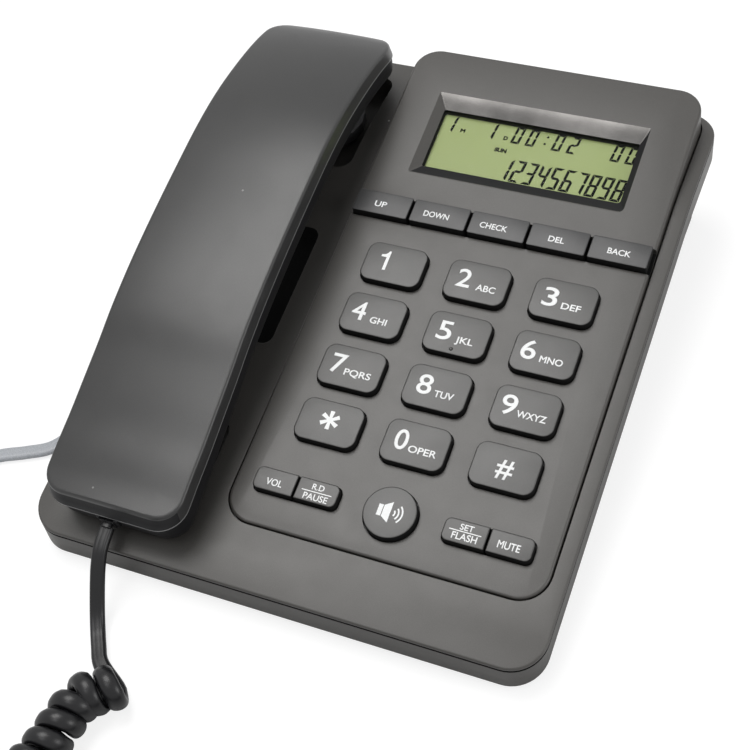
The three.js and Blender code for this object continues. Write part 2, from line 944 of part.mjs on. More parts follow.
function buildKeys() {
  digitKeys().forEach(({ name, x, y }) => {
    let key = steppedKey(keyOutline(0), keyOutline(flangeMargin), x, y);
    if (name === "key_5") {
      const pipY = y - keyDepth / 2 + 2 * pipRadius + pipHeight;
      key = join(key, disc(pipRadius, x, pipY, keyProud - gap, keyProud + pipHeight, 3));
    }
    addNode(panelGroup, name, key, keyPlastic());
  });
  const round = steppedKey(
    discOutline(speakerKeyRadius),
    discOutline(speakerKeyRadius + flangeMargin),
    0,
    bottomRowY,
    12,
    6,
  );
  addNode(panelGroup, "speaker_key", round, keyPlastic());
  pillHalves().forEach(({ name, x, side }) => {
    const edge = x + (side * pillSplit) / 2;
    const cap = halfPillOutline(halfPillWidth, pillDepth, pillRadius, side);
    const flange = halfPillOutline(
      halfPillWidth + flangeMargin,
      pillDepth + 2 * flangeMargin,
      pillRadius + flangeMargin,
      side,
    );
    addNode(panelGroup, name, steppedKey(cap, flange, edge, bottomRowY, 4), keyPlastic());
  });
  functionKeys().forEach(({ name, x, width }) => {
    const cap = roundedOutline(width, functionRowDepth, functionKeyRadius);
    const stem = roundedOutline(
      2 * functionStemHalf,
      functionRowDepth - functionStemMargin,
      functionStemRadius,
    );
    const foot = roundedOutline(
      2 * functionStemHalf + 2 * flangeMargin,
      functionRowDepth - functionStemMargin + 2 * flangeMargin,
      functionStemRadius,
    );
    const capLow = keyTravel + gap - channelDepth;
    const stemLow = -channelDepth - channelFloor - gap - flangeThickness;
    const key = join(
      slab(cap, x, functionRowY, capLow, keyProud, 2),
      slab(stem, x, functionRowY, stemLow, capLow + gap, 1),
      slab(foot, x, functionRowY, stemLow, stemLow + flangeThickness, 1),
    );
    addNode(panelGroup, name, key, keyPlastic());
  });
}

function keyOpenings() {
  const low = -high;
  const openings = digitKeys().map(({ x, y }) => slab(keyOutline(keyClearance), x, y, low, high, 2));
  openings.push(disc(speakerKeyRadius + keyClearance, 0, bottomRowY, low, high, 12));
  [-pillCentreX, pillCentreX].forEach((x) => {
    const shape = roundedOutline(
      pillWidth + 2 * keyClearance,
      pillDepth + 2 * keyClearance,
      pillRadius + keyClearance,
    );
    openings.push(slab(shape, x, bottomRowY, low, high, 3));
  });
  functionKeys().forEach(({ x }) => {
    const shape = roundedOutline(
      2 * functionStemHalf + 2 * keyClearance,
      functionRowDepth - functionStemMargin + 2 * keyClearance,
      functionStemRadius,
    );
    openings.push(slab(shape, x, functionRowY, low, high, 1));
  });
  return openings;
}

// Display window: sloped walls down to the lens, and the lens's seat behind them

const bezelMiddleY = windowY + (bezelTop - bezelBottom) / 2;
const lensTop = -bezelDepth - gap;
const lensBottom = lensTop - lensThickness;
const moduleTop = lensBottom - gap;
const moduleBottom = moduleTop - moduleThickness;

function rectangleRing(halfWidth, front, back, z) {
  return [
    new THREE.Vector3(-halfWidth, front, z),
    new THREE.Vector3(halfWidth, front, z),
    new THREE.Vector3(halfWidth, back, z),
    new THREE.Vector3(-halfWidth, back, z),
  ];
}

function windowCutter() {
  const half = windowWidth / 2;
  const front = windowY - windowDepth / 2;
  const back = windowY + windowDepth / 2;
  const rise = overrun / bezelDepth;
  const low = rectangleRing(half, front, back, -bezelDepth);
  const top = rectangleRing(
    half + bezelSide * (1 + rise),
    front - bezelBottom * (1 + rise),
    back + bezelTop * (1 + rise),
    overrun,
  );
  const funnel = toSolid(loftGeometry([top, low]));
  const opening = slab(roundedOutline(windowWidth, windowDepth, bezelRadius), 0, windowY, -high, 0, 2);
  return join(funnel, opening);
}

function buildKeypadPanel() {
  const body = cut(
    toSolid(panelPrism(0, -high, 0)),
    toSolid(panelPrism(-panelPlate, -high, -panelPlate)),
  );
  const clipped = common(body, inPanel(aboveDeckLine(panelWallDepth, 2 * high, wide)));
  const frame = slab(
    roundedOutline(
      windowWidth + 2 * bezelSide + 2 * bezelWall,
      windowDepth + bezelTop + bezelBottom + 2 * bezelWall,
      bezelRadius + bezelWall,
    ),
    0,
    bezelMiddleY,
    lensBottom,
    -gap,
    2,
  );
  const lensPocket = slab(
    roundedOutline(
      windowWidth + 2 * lensMargin + 2 * gap,
      windowDepth + 2 * lensMargin + 2 * gap,
      bezelRadius + lensMargin,
    ),
    0,
    windowY,
    -high,
    -bezelDepth,
    2,
  );
  const channelHalf = functionRowDepth / 2 + channelClearance;
  const channelBase = block(
    -panelWidth / 2 + gap,
    panelWidth / 2 - gap,
    functionRowY - channelHalf - panelPlate,
    functionRowY + channelHalf + panelPlate,
    -channelDepth - channelFloor,
    -gap,
  );
  const channel = block(
    -panelWidth,
    panelWidth,
    functionRowY - channelHalf,
    functionRowY + channelHalf,
    -channelDepth,
    overrun,
  );
  return cut(join(clipped, frame, channelBase), windowCutter(), lensPocket, channel, ...keyOpenings());
}

function buildDisplay() {
  const lens = slab(
    roundedOutline(
      windowWidth + 2 * lensMargin,
      windowDepth + 2 * lensMargin,
      bezelRadius + lensMargin,
    ),
    0,
    windowY,
    lensBottom,
    lensTop,
    2,
  );
  addNode(panelGroup, "display_lens", lens, clearPlastic());
  const module = slab(
    roundedOutline(windowWidth + 2 * moduleMargin, windowDepth + 2 * moduleMargin, bezelRadius),
    0,
    windowY,
    moduleBottom,
    moduleTop,
    2,
  );
  addNode(panelGroup, "display_module", module, displayGlass());
}

// Mat and board: the mat lies under the flanges with the keys' travel between
const stemBottom = -channelDepth - channelFloor - gap - flangeThickness;
const domeTop = Math.min(flangeBottom, stemBottom) - keyTravel - gap;
const matTop = domeTop - domeHeight;
const matBottom = matTop - matThickness;
const boardTop = matBottom - gap;
const boardBottom = boardTop - boardThickness;
const matBack = functionRowY + functionRowDepth / 2 + matMargin;
const matFront = bottomRowY - pillDepth / 2 - matMargin;

function buildMatAndBoard() {
  const matMiddle = (matFront + matBack) / 2;
  const matHalf = keyPitchX + keyWidth / 2 + matMargin;
  const sheet = slab(
    roundedOutline(2 * matHalf, matBack - matFront, keyRadius),
    0,
    matMiddle,
    matBottom,
    matTop,
    2,
  );
  const places = [
    ...digitKeys().map(({ x, y }) => [x, y]),
    [0, bottomRowY],
    ...pillHalves().map(({ x, side }) => [x + (side * halfPillWidth) / 2, bottomRowY]),
    ...functionKeys().map(({ x }) => [x, functionRowY]),
  ].map(([x, y]) => [Math.max(domeRadius - matHalf, Math.min(matHalf - domeRadius, x)), y]);
  const domes = places.map(([x, y]) => disc(domeRadius, x, y, matTop - gap, domeTop, 2));
  addNode(panelGroup, "key_mat", join(sheet, ...domes), greyRubber());

  const boardFront = matFront - gap;
  const boardBack = panelBack - boardMargin;
  const boardMiddle = (boardFront + boardBack) / 2;
  const board = slab(
    roundedOutline(boardWidth, boardBack - boardFront, 1),
    0,
    boardMiddle,
    boardBottom,
    boardTop,
    2,
  );
  const chip = block(
    -chipSize / 2,
    chipSize / 2,
    windowY - chipSize / 2,
    windowY + chipSize / 2,
    boardBottom - chipHeight,
    boardBottom + gap,
  );
  const standOffs = [-1, 1].map((side) => block(
    side * (windowWidth / 2) - boardThickness,
    side * (windowWidth / 2) + boardThickness,
    windowY - windowDepth / 2,
    windowY + windowDepth / 2,
    boardTop - gap,
    moduleBottom - gap,
  ));
  addNode(panelGroup, "main_board", join(board, chip, ...standOffs), boardGreen());
}

// Handset: a crowned upper shell over a lower shell with two bosses

const topCurve = new THREE.CatmullRomCurve3(
  handsetTopShares.map(([along, up]) => new THREE.Vector3(
    handsetFront + along * handsetLength,
    up * handsetHeight,
    0,
  )),
  false,
  "centripetal",
);

function handsetStations(count) {
  return topCurve.getSpacedPoints(count).map((point) => [point.x, point.y]);
}

function upperRing(y, top, inset, drop, endShift) {
  const rim = handsetWidth / 2 - inset;
  const shoulder = rim - handsetTopInset;
  const edge = top - handsetEdge - drop;
  const low = top - handsetRimDrop;
  const crownShares = [0.96, 0.62, 0.22];
  const crown = crownShares.map((share) => [
    share * shoulder,
    top - drop + handsetCrown * (1 - share * share),
  ]);
  const right = [[rim, low - (drop > 0 ? overrun : 0), endShift], [shoulder, edge, 0]];
  const half = [...right, ...crown.map(([x, z]) => [x, z, 0])];
  const left = half.map(([x, z, shift]) => [-x, z, shift]).reverse();
  return [...half, ...left].map(([x, z, shift]) => new THREE.Vector3(handsetX + x, y + shift, z));
}

function handsetPlan(inset, low, top) {
  const middle = (handsetFront + handsetBack) / 2;
  const shape = roundedOutline(
    handsetWidth - 2 * inset,
    handsetLength - 2 * inset,
    handsetRadius - inset,
    handsetFarRadius - inset,
  );
  return slab(shape, handsetX, middle, low, top, 5);
}

function buildHandsetUpper() {
  const stations = handsetStations(22);
  const outer = stations.map(([y, top], index) => {
    const endShift = index === 0 ? -handsetEndInset : 0;
    return upperRing(y, top, 0, 0, endShift);
  });
  const inner = handsetStations(11).map(([y, top]) => (
    upperRing(y, top, handsetWall, handsetWall + handsetCrown, 0)
  ));
  const outerSolid = common(toSolid(loftGeometry(outer)), handsetPlan(0, -high, high));
  const innerSolid = common(toSolid(loftGeometry(inner)), handsetPlan(handsetWall, -high, high));
  return cut(outerSolid, innerSolid);
}

// The lower shell's side gets deeper towards the mouthpiece
function sideHeightAt(y) {
  const share = Math.min(Math.max((lowerNearStart - y) / lowerNearReach, 0), 1);
  return lowerSideHeight + lowerNearDepth * share;
}

function lowerRing(y, top, inset, floorLift) {
  const rim = handsetWidth / 2 - lowerShellInset - inset;
  const upper = top - handsetRimDrop - gap + (floorLift > 0 ? overrun : 0);
  const side = top - handsetRimDrop - sideHeightAt(y);
  const belly = side - lowerShellBelly + floorLift;
  const half = [
    [rim, upper],
    [rim - lowerShellTuck, side + floorLift],
    [rim - lowerShellTuck - lowerShellRound, belly],
  ];
  const left = half.map(([x, z]) => [-x, z]).reverse();
  return [...half, ...left].map(([x, z]) => new THREE.Vector3(handsetX + x, y, z)).reverse();
}

// Height of the handset's top at a place along its length
function topAt(y) {
  const stations = handsetStations(60);
  for (let i = 1; i < stations.length; i += 1) {
    if (stations[i][0] >= y) {
      const share = (y - stations[i - 1][0]) / (stations[i][0] - stations[i - 1][0]);
      return stations[i - 1][1] + share * (stations[i][1] - stations[i - 1][1]);
    }
  }
  return stations[stations.length - 1][1];
}

function bellyAt(y) {
  return topAt(y) - handsetRimDrop - sideHeightAt(y) - lowerShellBelly;
}

const earFloorZ = earWellFloor + gap;
const mouthFloor = (y) => {
  const world = onPanel(0, y, 0);
  return panelHeightAt(y, slopeZ(world.y) - mouthWellDepth + gap);
};

function bossSide(front, back, floorAt, inset, lift) {
  const count = 6;
  const points = [];
  for (let i = 0; i <= count; i += 1) {
    const y = front + ((back - front) * i) / count;
    points.push([y, floorAt(y) + inset]);
  }
  for (let i = count; i >= 0; i -= 1) {
    const y = front + ((back - front) * i) / count;
    points.push([y, bellyAt(y) + lift]);
  }
  return points;
}

function boss(front, back, floorAt, inset, lift) {
  const shape = roundedOutline(
    2 * (bossHalfWidth - inset),
    back - front - 2 * inset,
    bossRadius - inset,
  );
  return common(
    toSolid(sideGeometry(
      bossSide(front, back, floorAt, inset, lift),
      handsetX - bossHalfWidth - overrun,
      handsetX + bossHalfWidth + overrun,
    )),
    slab(shape, handsetX, (front + back) / 2, -high, high, 3),
  );
}

const microphoneY = (mouthBossFront + mouthBossBack) / 2;
const earFloorAt = (y) => panelHeightAt(y, earFloorZ);
const earWellBackY = onPanel(0, earBossBack, earFloorAt(earBossBack)).y + wellClearance;
const socketFront = handsetFront + handsetEndInset;

function buildHandsetLower() {
  const insideShell = ([y]) => y < handsetBack - handsetEndInset;
  const outer = toSolid(loftGeometry(
    handsetStations(18).filter(insideShell).map(([y, top]) => lowerRing(y, top, 0, 0)),
  ));
  const inner = toSolid(loftGeometry(
    handsetStations(12).filter(insideShell)
      .map(([y, top]) => lowerRing(y, top, handsetWall, handsetWall)),
  ));
  const plan = handsetPlan(lowerShellInset, -high, high);
  const innerPlan = handsetPlan(lowerShellInset + handsetWall, -high, high);
  const body = join(
    common(outer, plan),
    boss(mouthBossFront, mouthBossBack, mouthFloor, 0, bossRise / 2),
    boss(earBossFront, earBossBack, earFloorAt, 0, bossRise / 2),
  );
  const space = join(
    common(inner, innerPlan),
    boss(mouthBossFront, mouthBossBack, mouthFloor, bossWall, bossRise),
    boss(earBossFront, earBossBack, earFloorAt, bossWall, bossRise),
  );
  const earHoles = [];
  const earMiddle = (earBossFront + earBossBack) / 2;
  for (let i = 0; i < 3; i += 1) {
    const x = handsetX + (i - 1) * (bossRadius / 2);
    earHoles.push(disc(1, x, earMiddle, -high, earFloorAt(earMiddle) + 2 * bossWall, 2));
  }
  const mouthHole = disc(
    1,
    handsetX,
    microphoneY,
    -high,
    mouthFloor(microphoneY) + 2 * bossWall,
    2,
  );
  const socketRoom = block(
    socketX - handsetPlugWidth / 2 - gap,
    socketX + handsetPlugWidth / 2 + gap,
    handsetFront - overrun,
    socketFront + handsetWall + overrun,
    socketHeightOnPanel - handsetPlugHeight / 2 - gap,
    socketHeightOnPanel + handsetPlugHeight / 2 + gap,
  );
  return cut(body, space, ...earHoles, mouthHole, socketRoom);
}

function buildHandsetInside() {
  const earMiddle = (earBossFront + earBossBack) / 2;
  const floor = earFloorAt(earBossBack) + bossWall;
  const lift = earFloorAt(earBossFront) + bossWall;
  const capsule = new THREE.LatheGeometry(
    [
      [0, 0],
      [receiverRadius, 0],
      [receiverRadius, receiverHeight / 2],
      [receiverRadius / 2, receiverHeight],
      [0, receiverHeight],
    ].map(([r, z]) => new THREE.Vector2(r, z)),
    16,
  );
  capsule.rotateX(Math.PI / 2);
  capsule.rotateX(-panelTilt);
  capsule.translate(handsetX, earMiddle, (floor + lift) / 2 + gap);
  addNode(panelGroup, "receiver_capsule", toSolid(capsule), material(0x202022, 0.6));

  const microphone = disc(
    microphoneRadius,
    handsetX,
    microphoneY,
    mouthFloor(microphoneY + microphoneRadius) + bossWall + 2 * gap,
    mouthFloor(microphoneY + microphoneRadius) + bossWall + 2 * gap + microphoneHeight,
    4,
  );
  addNode(panelGroup, "microphone_capsule", microphone, steel());

  const weightMiddle = (mouthBossBack + earBossFront) / 2;
  const front = weightMiddle - weightLength / 2;
  const back = weightMiddle + weightLength / 2;
  const steps = 6;
  const low = [];
  const upper = [];
  for (let i = 0; i <= steps; i += 1) {
    const y = front + ((back - front) * i) / steps;
    low.push([y, bellyAt(y) + handsetWall + gap]);
    upper.push([y, bellyAt(y) + handsetWall + gap + weightHeight]);
  }
  const weight = toSolid(sideGeometry(
    [...low, ...upper.reverse()],
    handsetX - weightWidth / 2,
    handsetX + weightWidth / 2,
  ));
  addNode(panelGroup, "handset_weight", weight, steel());

  // The socket that the cord's plug is pushed into, open to the front
  const half = handsetPlugWidth / 2;
  const halfHigh = handsetPlugHeight / 2;
  const socketY = socketFront + lowerShellInset + handsetWall + gap;
  const socket = cut(
    block(
      socketX - half - gap - socketWallThickness,
      socketX + half + gap + socketWallThickness,
      socketY,
      socketY + handsetPlugLength,
      socketHeightOnPanel - halfHigh + socketWallThickness,
      socketHeightOnPanel + halfHigh + gap + socketWallThickness / 2,
    ),
    block(
      socketX - half - gap,
      socketX + half + gap,
      socketY - overrun,
      socketY + handsetPlugLength - socketWallThickness,
      -high,
      socketHeightOnPanel + halfHigh + gap,
    ),
  );
  addNode(panelGroup, "handset_socket", socket, material(0x2a2a2c, 0.5));
}

// Small pieces of the base

function buildBaseInside() {
  const stem = slab(
    roundedOutline(plungerWidth, plungerDepth, 1),
    plungerX,
    plungerY,
    earWellFloor - plungerStem,
    earFloorZ - gap,
    2,
  );
  const flange = slab(
    roundedOutline(plungerWidth + 2 * plungerFlange, plungerDepth + 2 * plungerFlange, 1),
    plungerX,
    plungerY,
    earWellFloor - wellFloorWall - gap - plungerTravel - plungerFlangeThickness,
    earWellFloor - wellFloorWall - gap - plungerTravel,
    2,
  );
  addNode(phone, "hook_plunger", join(stem, flange), keyPlastic());

  const switchTop = earWellFloor - plungerStem - gap;
  const hookSwitch = block(
    plungerX - hookSwitchWidth / 2,
    plungerX + hookSwitchWidth / 2,
    plungerY - hookSwitchDepth / 2,
    plungerY + hookSwitchDepth / 2,
    floorTop + gap,
    switchTop,
  );
  addNode(phone, "hook_switch", hookSwitch, material(0x1f2a3a, 0.5));

  const cone = new THREE.LatheGeometry(
    [
      [0, 0],
      [speakerRadius, 0],
      [speakerRadius, speakerRim],
      [speakerMagnetRadius, speakerRim],
      [speakerMagnetRadius, speakerHeight],
      [0, speakerHeight],
    ].map(([r, z]) => new THREE.Vector2(r, z)),
    20,
  );
  cone.rotateX(Math.PI / 2);
  cone.translate(speakerX, speakerY, floorTop + gap);
  addNode(phone, "loudspeaker", toSolid(cone), steel());

  const door = join(
    block(
      doorX - doorWidth / 2,
      doorX + doorWidth / 2,
      doorY - doorLength / 2,
      doorY + doorLength / 2,
      footHeight,
      footHeight + doorThickness,
    ),
  );
  addNode(phone, "battery_door", door, housingPlastic());

  [-1, 1].forEach((side, index) => {
    const cell = new THREE.LatheGeometry(
      [
        [0, 0],
        [batteryRadius, 0],
        [batteryRadius, batteryLength - batteryTip],
        [batteryTipRadius, batteryLength - batteryTip],
        [batteryTipRadius, batteryLength],
        [0, batteryLength],
      ].map(([r, z]) => new THREE.Vector2(r, z)),
      12,
    );
    if (side > 0) {
      cell.rotateX(Math.PI);
      cell.translate(0, batteryLength, 0);
    }
    cell.translate(
      doorX + side * (batteryRadius + gap / 2),
      doorY - batteryLength / 2,
      compartmentTop - batteryRadius - gap,
    );
    addNode(phone, `battery_${index + 1}`, toSolid(cell), material(0x8a6a2a, 0.35, 0.6));
  });

  footPlaces().forEach(([place, x, y]) => {
    const foot = disc(footRadius, x, y, 0, footHeight + footSeat - gap, 6);
    addNode(phone, `foot_${place}`, foot, rubber());
  });
  screwPlaces().forEach(([place, x, y]) => {
    const head = disc(screwHeadRadius, x, y, footHeight, footHeight + screwHeadHeight, 4);
    const shank = disc(screwShankRadius, x, y, footHeight, screwTop(), 3);
    addNode(phone, `screw_${place}`, join(head, shank), steel());
  });
}

function hollowBox(x0, x1, y0, y1, z0, z1, hollow) {
  return cut(block(x0, x1, y0, y1, z0, z1), hollow);
}

function buildJacks() {
  const back = deckBack - lowerInset - jackLip;
  const x0 = lineJackX - lineJackWidth / 2;
  const x1 = lineJackX + lineJackWidth / 2;
  const lineJack = hollowBox(
    x0,
    x1,
    back - lineJackDepth,
    back,
    lineJackZ,
    lineJackZ + lineJackHeight,
    block(
      lineJackX - linePlugWidth / 2 - gap,
      lineJackX + linePlugWidth / 2 + gap,
      back - lineJackDepth + jackWall,
      back + overrun,
      lineJackZ + jackWall,
      lineJackZ + lineJackHeight - jackWall,
    ),
  );
  addNode(phone, "line_jack", lineJack, material(0x2a2a2c, 0.5));

  const left = -baseWidth / 2 + lowerInset + jackLip;
  const handsetJack = hollowBox(
    left,
    left + handsetJackDepth,
    handsetJackY - handsetJackWidth / 2,
    handsetJackY + handsetJackWidth / 2,
    handsetJackZ,
    handsetJackZ + handsetJackHeight,
    block(
      left - overrun,
      left + handsetJackDepth - jackWall,
      handsetJackY - handsetPlugWidth / 2 - gap,
      handsetJackY + handsetPlugWidth / 2 + gap,
      handsetJackZ + jackWall,
      handsetJackZ + handsetJackHeight - jackWall,
    ),
  );
  addNode(phone, "handset_jack", handsetJack, material(0x2a2a2c, 0.5));
}

// A modular plug whose cable end is at the origin and whose nose points along +Y
function plugSolid(width, height, length) {
  const low = -height / 2 + latchThickness + latchLift;
  const middle = (low + height / 2) / 2;
  const tailHalf = width / 2 - latchLift;
  const body = block(-width / 2, width / 2, 0, length, low, height / 2);
  const tail = block(-tailHalf, tailHalf, -plugTail, gap, middle - cordRadius, middle + cordRadius);
  const arm = block(
    -latchWidth / 2,
    latchWidth / 2,
    length - latchLength,
    length,
    -height / 2,
    -height / 2 + latchThickness,
  );
  const root = block(
    -latchWidth / 2,
    latchWidth / 2,
    length - latchWidth,
    length,
    -height / 2,
    low + gap,
  );
  return join(body, tail, arm, root);
}

// Cords: points chosen by hand, on the surface that the telephone stands on

const plugInHandset = onPanel(socketX, socketFront - handsetEndInset, socketHeightOnPanel);

const leadRoute = [
  [-51.6, -104.4, 18.0], [-51.1, -108.2, 15.2], [-50.5, -111.8, 11.4], [-49.8, -115.2, 7.6],
  [-48.6, -118.9, 4.6], [-46.8, -122.8, 2.8], [-44.3, -127.0, 2.3], [-41.3, -131.4, 2.2],
];
const curlRoute = [
  [-34.0, -139.2], [-37.0, -143.8], [-38.9, -149.4], [-39.9, -155.4], [-41.0, -161.2],
  [-43.4, -169.0], [-45.2, -177.0], [-45.4, -185.0], [-43.0, -193.8], [-37.2, -202.6],
  [-27.6, -209.2], [-15.6, -211.4], [-4.0, -209.2], [5.2, -202.8], [11.0, -193.6],
  [13.6, -182.6], [16.2, -172.0], [22.2, -163.2], [31.2, -157.4], [41.4, -155.4],
  [51.6, -157.4], [60.2, -163.2], [66.0, -171.8], [68.0, -182.0], [67.4, -191.0],
];
const tailRoute = [
  [80.2, -194.6, 2.2], [84.6, -199.6, 2.2], [84.8, -206.4, 2.2], [80.0, -211.6, 2.3],
  [73.0, -213.4, 2.8], [66.0, -213.6, 3.4],
];

function vectorsOf(points) {
  return points.map(([x, y, z]) => new THREE.Vector3(x, y, z));
}

// Rings of a flat-sided section carried along points, its broad side level
function sweepRings(centres, radiusAcross, radiusUp, sides) {
  const rings = [];
  const up = new THREE.Vector3(0, 0, 1);
  centres.forEach((centre, index) => {
    const before = centres[Math.max(index - 1, 0)];
    const after = centres[Math.min(index + 1, centres.length - 1)];
    const along = after.clone().sub(before).normalize();
    const across = along.clone().cross(up).normalize();
    const over = across.clone().cross(along).normalize();
    const ring = [];
    for (let i = 0; i < sides; i += 1) {
      const angle = (2 * Math.PI * (i + 0.5)) / sides;
      ring.push(centre.clone()
        .addScaledVector(across, radiusAcross * Math.cos(angle))
        .addScaledVector(over, radiusUp * Math.sin(angle)));
    }
    rings.push(ring);
  });
  return rings;
}

// The least gap of a wound tube to itself, between corners a turn or more apart
function leastGap(name, rings, stepsPerTurn) {
  let least = Infinity;
  for (let i = 0; i < rings.length; i += 1) {
    for (let j = i + Math.ceil(stepsPerTurn / 2); j < rings.length; j += 1) {
      if (rings[i][0].distanceTo(rings[j][0]) < 4 * lineWidth) {
        rings[i].forEach((a) => rings[j].forEach((b) => {
          least = Math.min(least, a.distanceTo(b));
        }));
      }
    }
  }
  console.log(`${name}: least gap to itself ${least.toFixed(2)} mm`);
}

function curlCentres() {
  const axisHeight = curlRadius + cordRadius;
  const axis = new THREE.CatmullRomCurve3(
    curlRoute.map(([x, y]) => new THREE.Vector3(x, y, axisHeight)),
    false,
    "centripetal",
  );
  const length = axis.getLength();
  const turns = Math.floor(length / curlPitch);
  const steps = turns * curlSteps;
  const up = new THREE.Vector3(0, 0, 1);
  const centres = [];
  for (let i = 0; i <= steps; i += 1) {
    const share = i / steps;
    const point = axis.getPointAt(share);
    const along = axis.getTangentAt(share);
    const across = along.clone().cross(up).normalize();
    const angle = -Math.PI / 2 - (2 * Math.PI * i) / curlSteps;
    centres.push(point.clone()
      .addScaledVector(across, curlRadius * Math.cos(angle))
      .addScaledVector(up, curlRadius * Math.sin(angle)));
  }
  return { centres, turns };
}

function straightEnds(centres, length) {
  const first = centres[0].clone().sub(centres[1]).normalize();
  const last = centres[centres.length - 1].clone().sub(centres[centres.length - 2]).normalize();
  first.z = 0;
  last.z = 0;
  const start = centres[0].clone().addScaledVector(first.normalize(), length);
  const end = centres[centres.length - 1].clone().addScaledVector(last.normalize(), length);
  return [start, ...centres, end];
}

function coilCentres() {
  const turnsPerLayer = coilTurns / coilLayers;
  const steps = coilTurns * coilSteps;
  const climbTurns = 1 / 2;
  const centres = [];
  for (let i = 0; i <= steps; i += 1) {
    const turn = i / coilSteps;
    const layer = Math.min(Math.floor(turn / turnsPerLayer), coilLayers - 1);
    const within = turn - layer * turnsPerLayer;
    const inwards = layer % 2 === 0 ? within : turnsPerLayer - within;
    const radius = coilRadius + (turnsPerLayer / 2 - inwards) * (lineWidth + coilSpare);
    const nearest = Math.min(Math.max(Math.round(turn / turnsPerLayer), 1), coilLayers - 1);
    const climb = (turn - nearest * turnsPerLayer) / climbTurns + climbTurns;
    const level = nearest - 1 + Math.min(Math.max(climb, 0), 1);
    const leaving = Math.max(1 + (turn - coilTurns) / climbTurns, 0);
    const z = lineThickness / 2 + level * coilPitch + leaving * coilPlugLift;
    const angle = Math.PI / 6 + turn * 2 * Math.PI;
    centres.push(new THREE.Vector3(
      coilCentreX + radius * Math.cos(angle),
      coilCentreY + radius * Math.sin(angle),
      z,
    ));
  }
  return centres;
}

function addCord(name, centres, across, up, sides, look) {
  const rings = sweepRings(centres, across, up, sides);
  addNode(phone, name, toSolid(loftGeometry(rings)), look);
  return rings;
}

function spacedPoints(points, steps) {
  return new THREE.CatmullRomCurve3(points, false, "centripetal").getSpacedPoints(steps);
}

function placedPlug(shape, position, direction) {
  const geometry = toGeometry(shape);
  const forward = direction.clone().normalize();
  const side = forward.clone().cross(new THREE.Vector3(0, 0, 1)).normalize();
  const up = side.clone().cross(forward).normalize();
  const basis = new THREE.Matrix4().makeBasis(side, forward, up).setPosition(position);
  geometry.applyMatrix4(basis);
  return geometry;
}

function buildHandsetCord() {
  const { centres, turns } = curlCentres();
  const curls = straightEnds(centres, 2 * cordRadius);
  console.log(`handset_cord_curls: ${turns} curls`);

  const nose = new THREE.Vector3(0, Math.cos(panelTilt), Math.sin(panelTilt));
  const plug = plugSolid(handsetPlugWidth - 2 * gap, handsetPlugHeight - 2 * gap, handsetPlugLength - gap);
  const plugPlace = plugInHandset.clone();
  addNode(phone, "handset_cord_plug", placedPlug(plug, plugPlace, nose), clearPlastic());

  const leadStart = plugPlace.clone().addScaledVector(nose, -plugTail - gap);
  const curlStart = curls[0];
  const inDirection = curls[0].clone().sub(curls[1]).normalize();
  const lead = [
    leadStart,
    ...vectorsOf(leadRoute),
    curlStart.clone().addScaledVector(inDirection, gap + cordRadius),
    curlStart.clone().addScaledVector(inDirection, gap),
  ];
  addCord("handset_cord_lead", spacedPoints(lead, leadSteps), cordRadius, cordRadius, leadSides, cordPlastic());
  const wound = addCord("handset_cord_curls", curls, cordRadius, cordRadius, curlSides, cordPlastic());
  leastGap("handset_cord_curls", wound, curlSteps);

  const curlEnd = curls[curls.length - 1];
  const outDirection = curlEnd.clone().sub(curls[curls.length - 2]).normalize();
  const tail = [
    curlEnd.clone().addScaledVector(outDirection, gap),
    curlEnd.clone().addScaledVector(outDirection, gap + cordRadius),
    ...vectorsOf(tailRoute),
  ];
  addCord("handset_cord_tail", spacedPoints(tail, leadSteps), cordRadius, cordRadius, leadSides, cordPlastic());
  const tailEnd = tail[tail.length - 1];
  const tailWay = tailEnd.clone().sub(tail[tail.length - 2]);
  tailWay.z = 0;
  const freePlugPlace = tailEnd.clone().addScaledVector(tailWay.normalize(), plugTail + gap);
  addNode(phone, "handset_cord_free_plug", placedPlug(plug, freePlugPlace, tailWay), clearPlastic());
}

const lineRoute = [
  [-50.2, 103.6, 12.0], [-51.2, 109.0, 10.0], [-54.4, 114.2, 6.2], [-60.0, 117.6, 3.0],
  [-67.8, 117.8, 1.5], [-76.0, 115.2, 1.25], [-83.2, 109.0, 1.25], [-87.2, 100.0, 1.25],
  [-88.4, 87.0, 1.25], [-88.2, 67.0, 1.25], [-88.0, 44.0, 1.25], [-88.0, 19.0, 1.25],
  [-88.0, -6.0, 1.25], [-88.0, -29.0, 1.25], [-88.4, -45.0, 1.25], [-90.4, -56.4, 1.25],
  [-95.4, -66.6, 1.25], [-103.2, -71.4, 1.25], [-110.8, -75.1, 1.25], [-116.0, -79.6, 1.25],
];

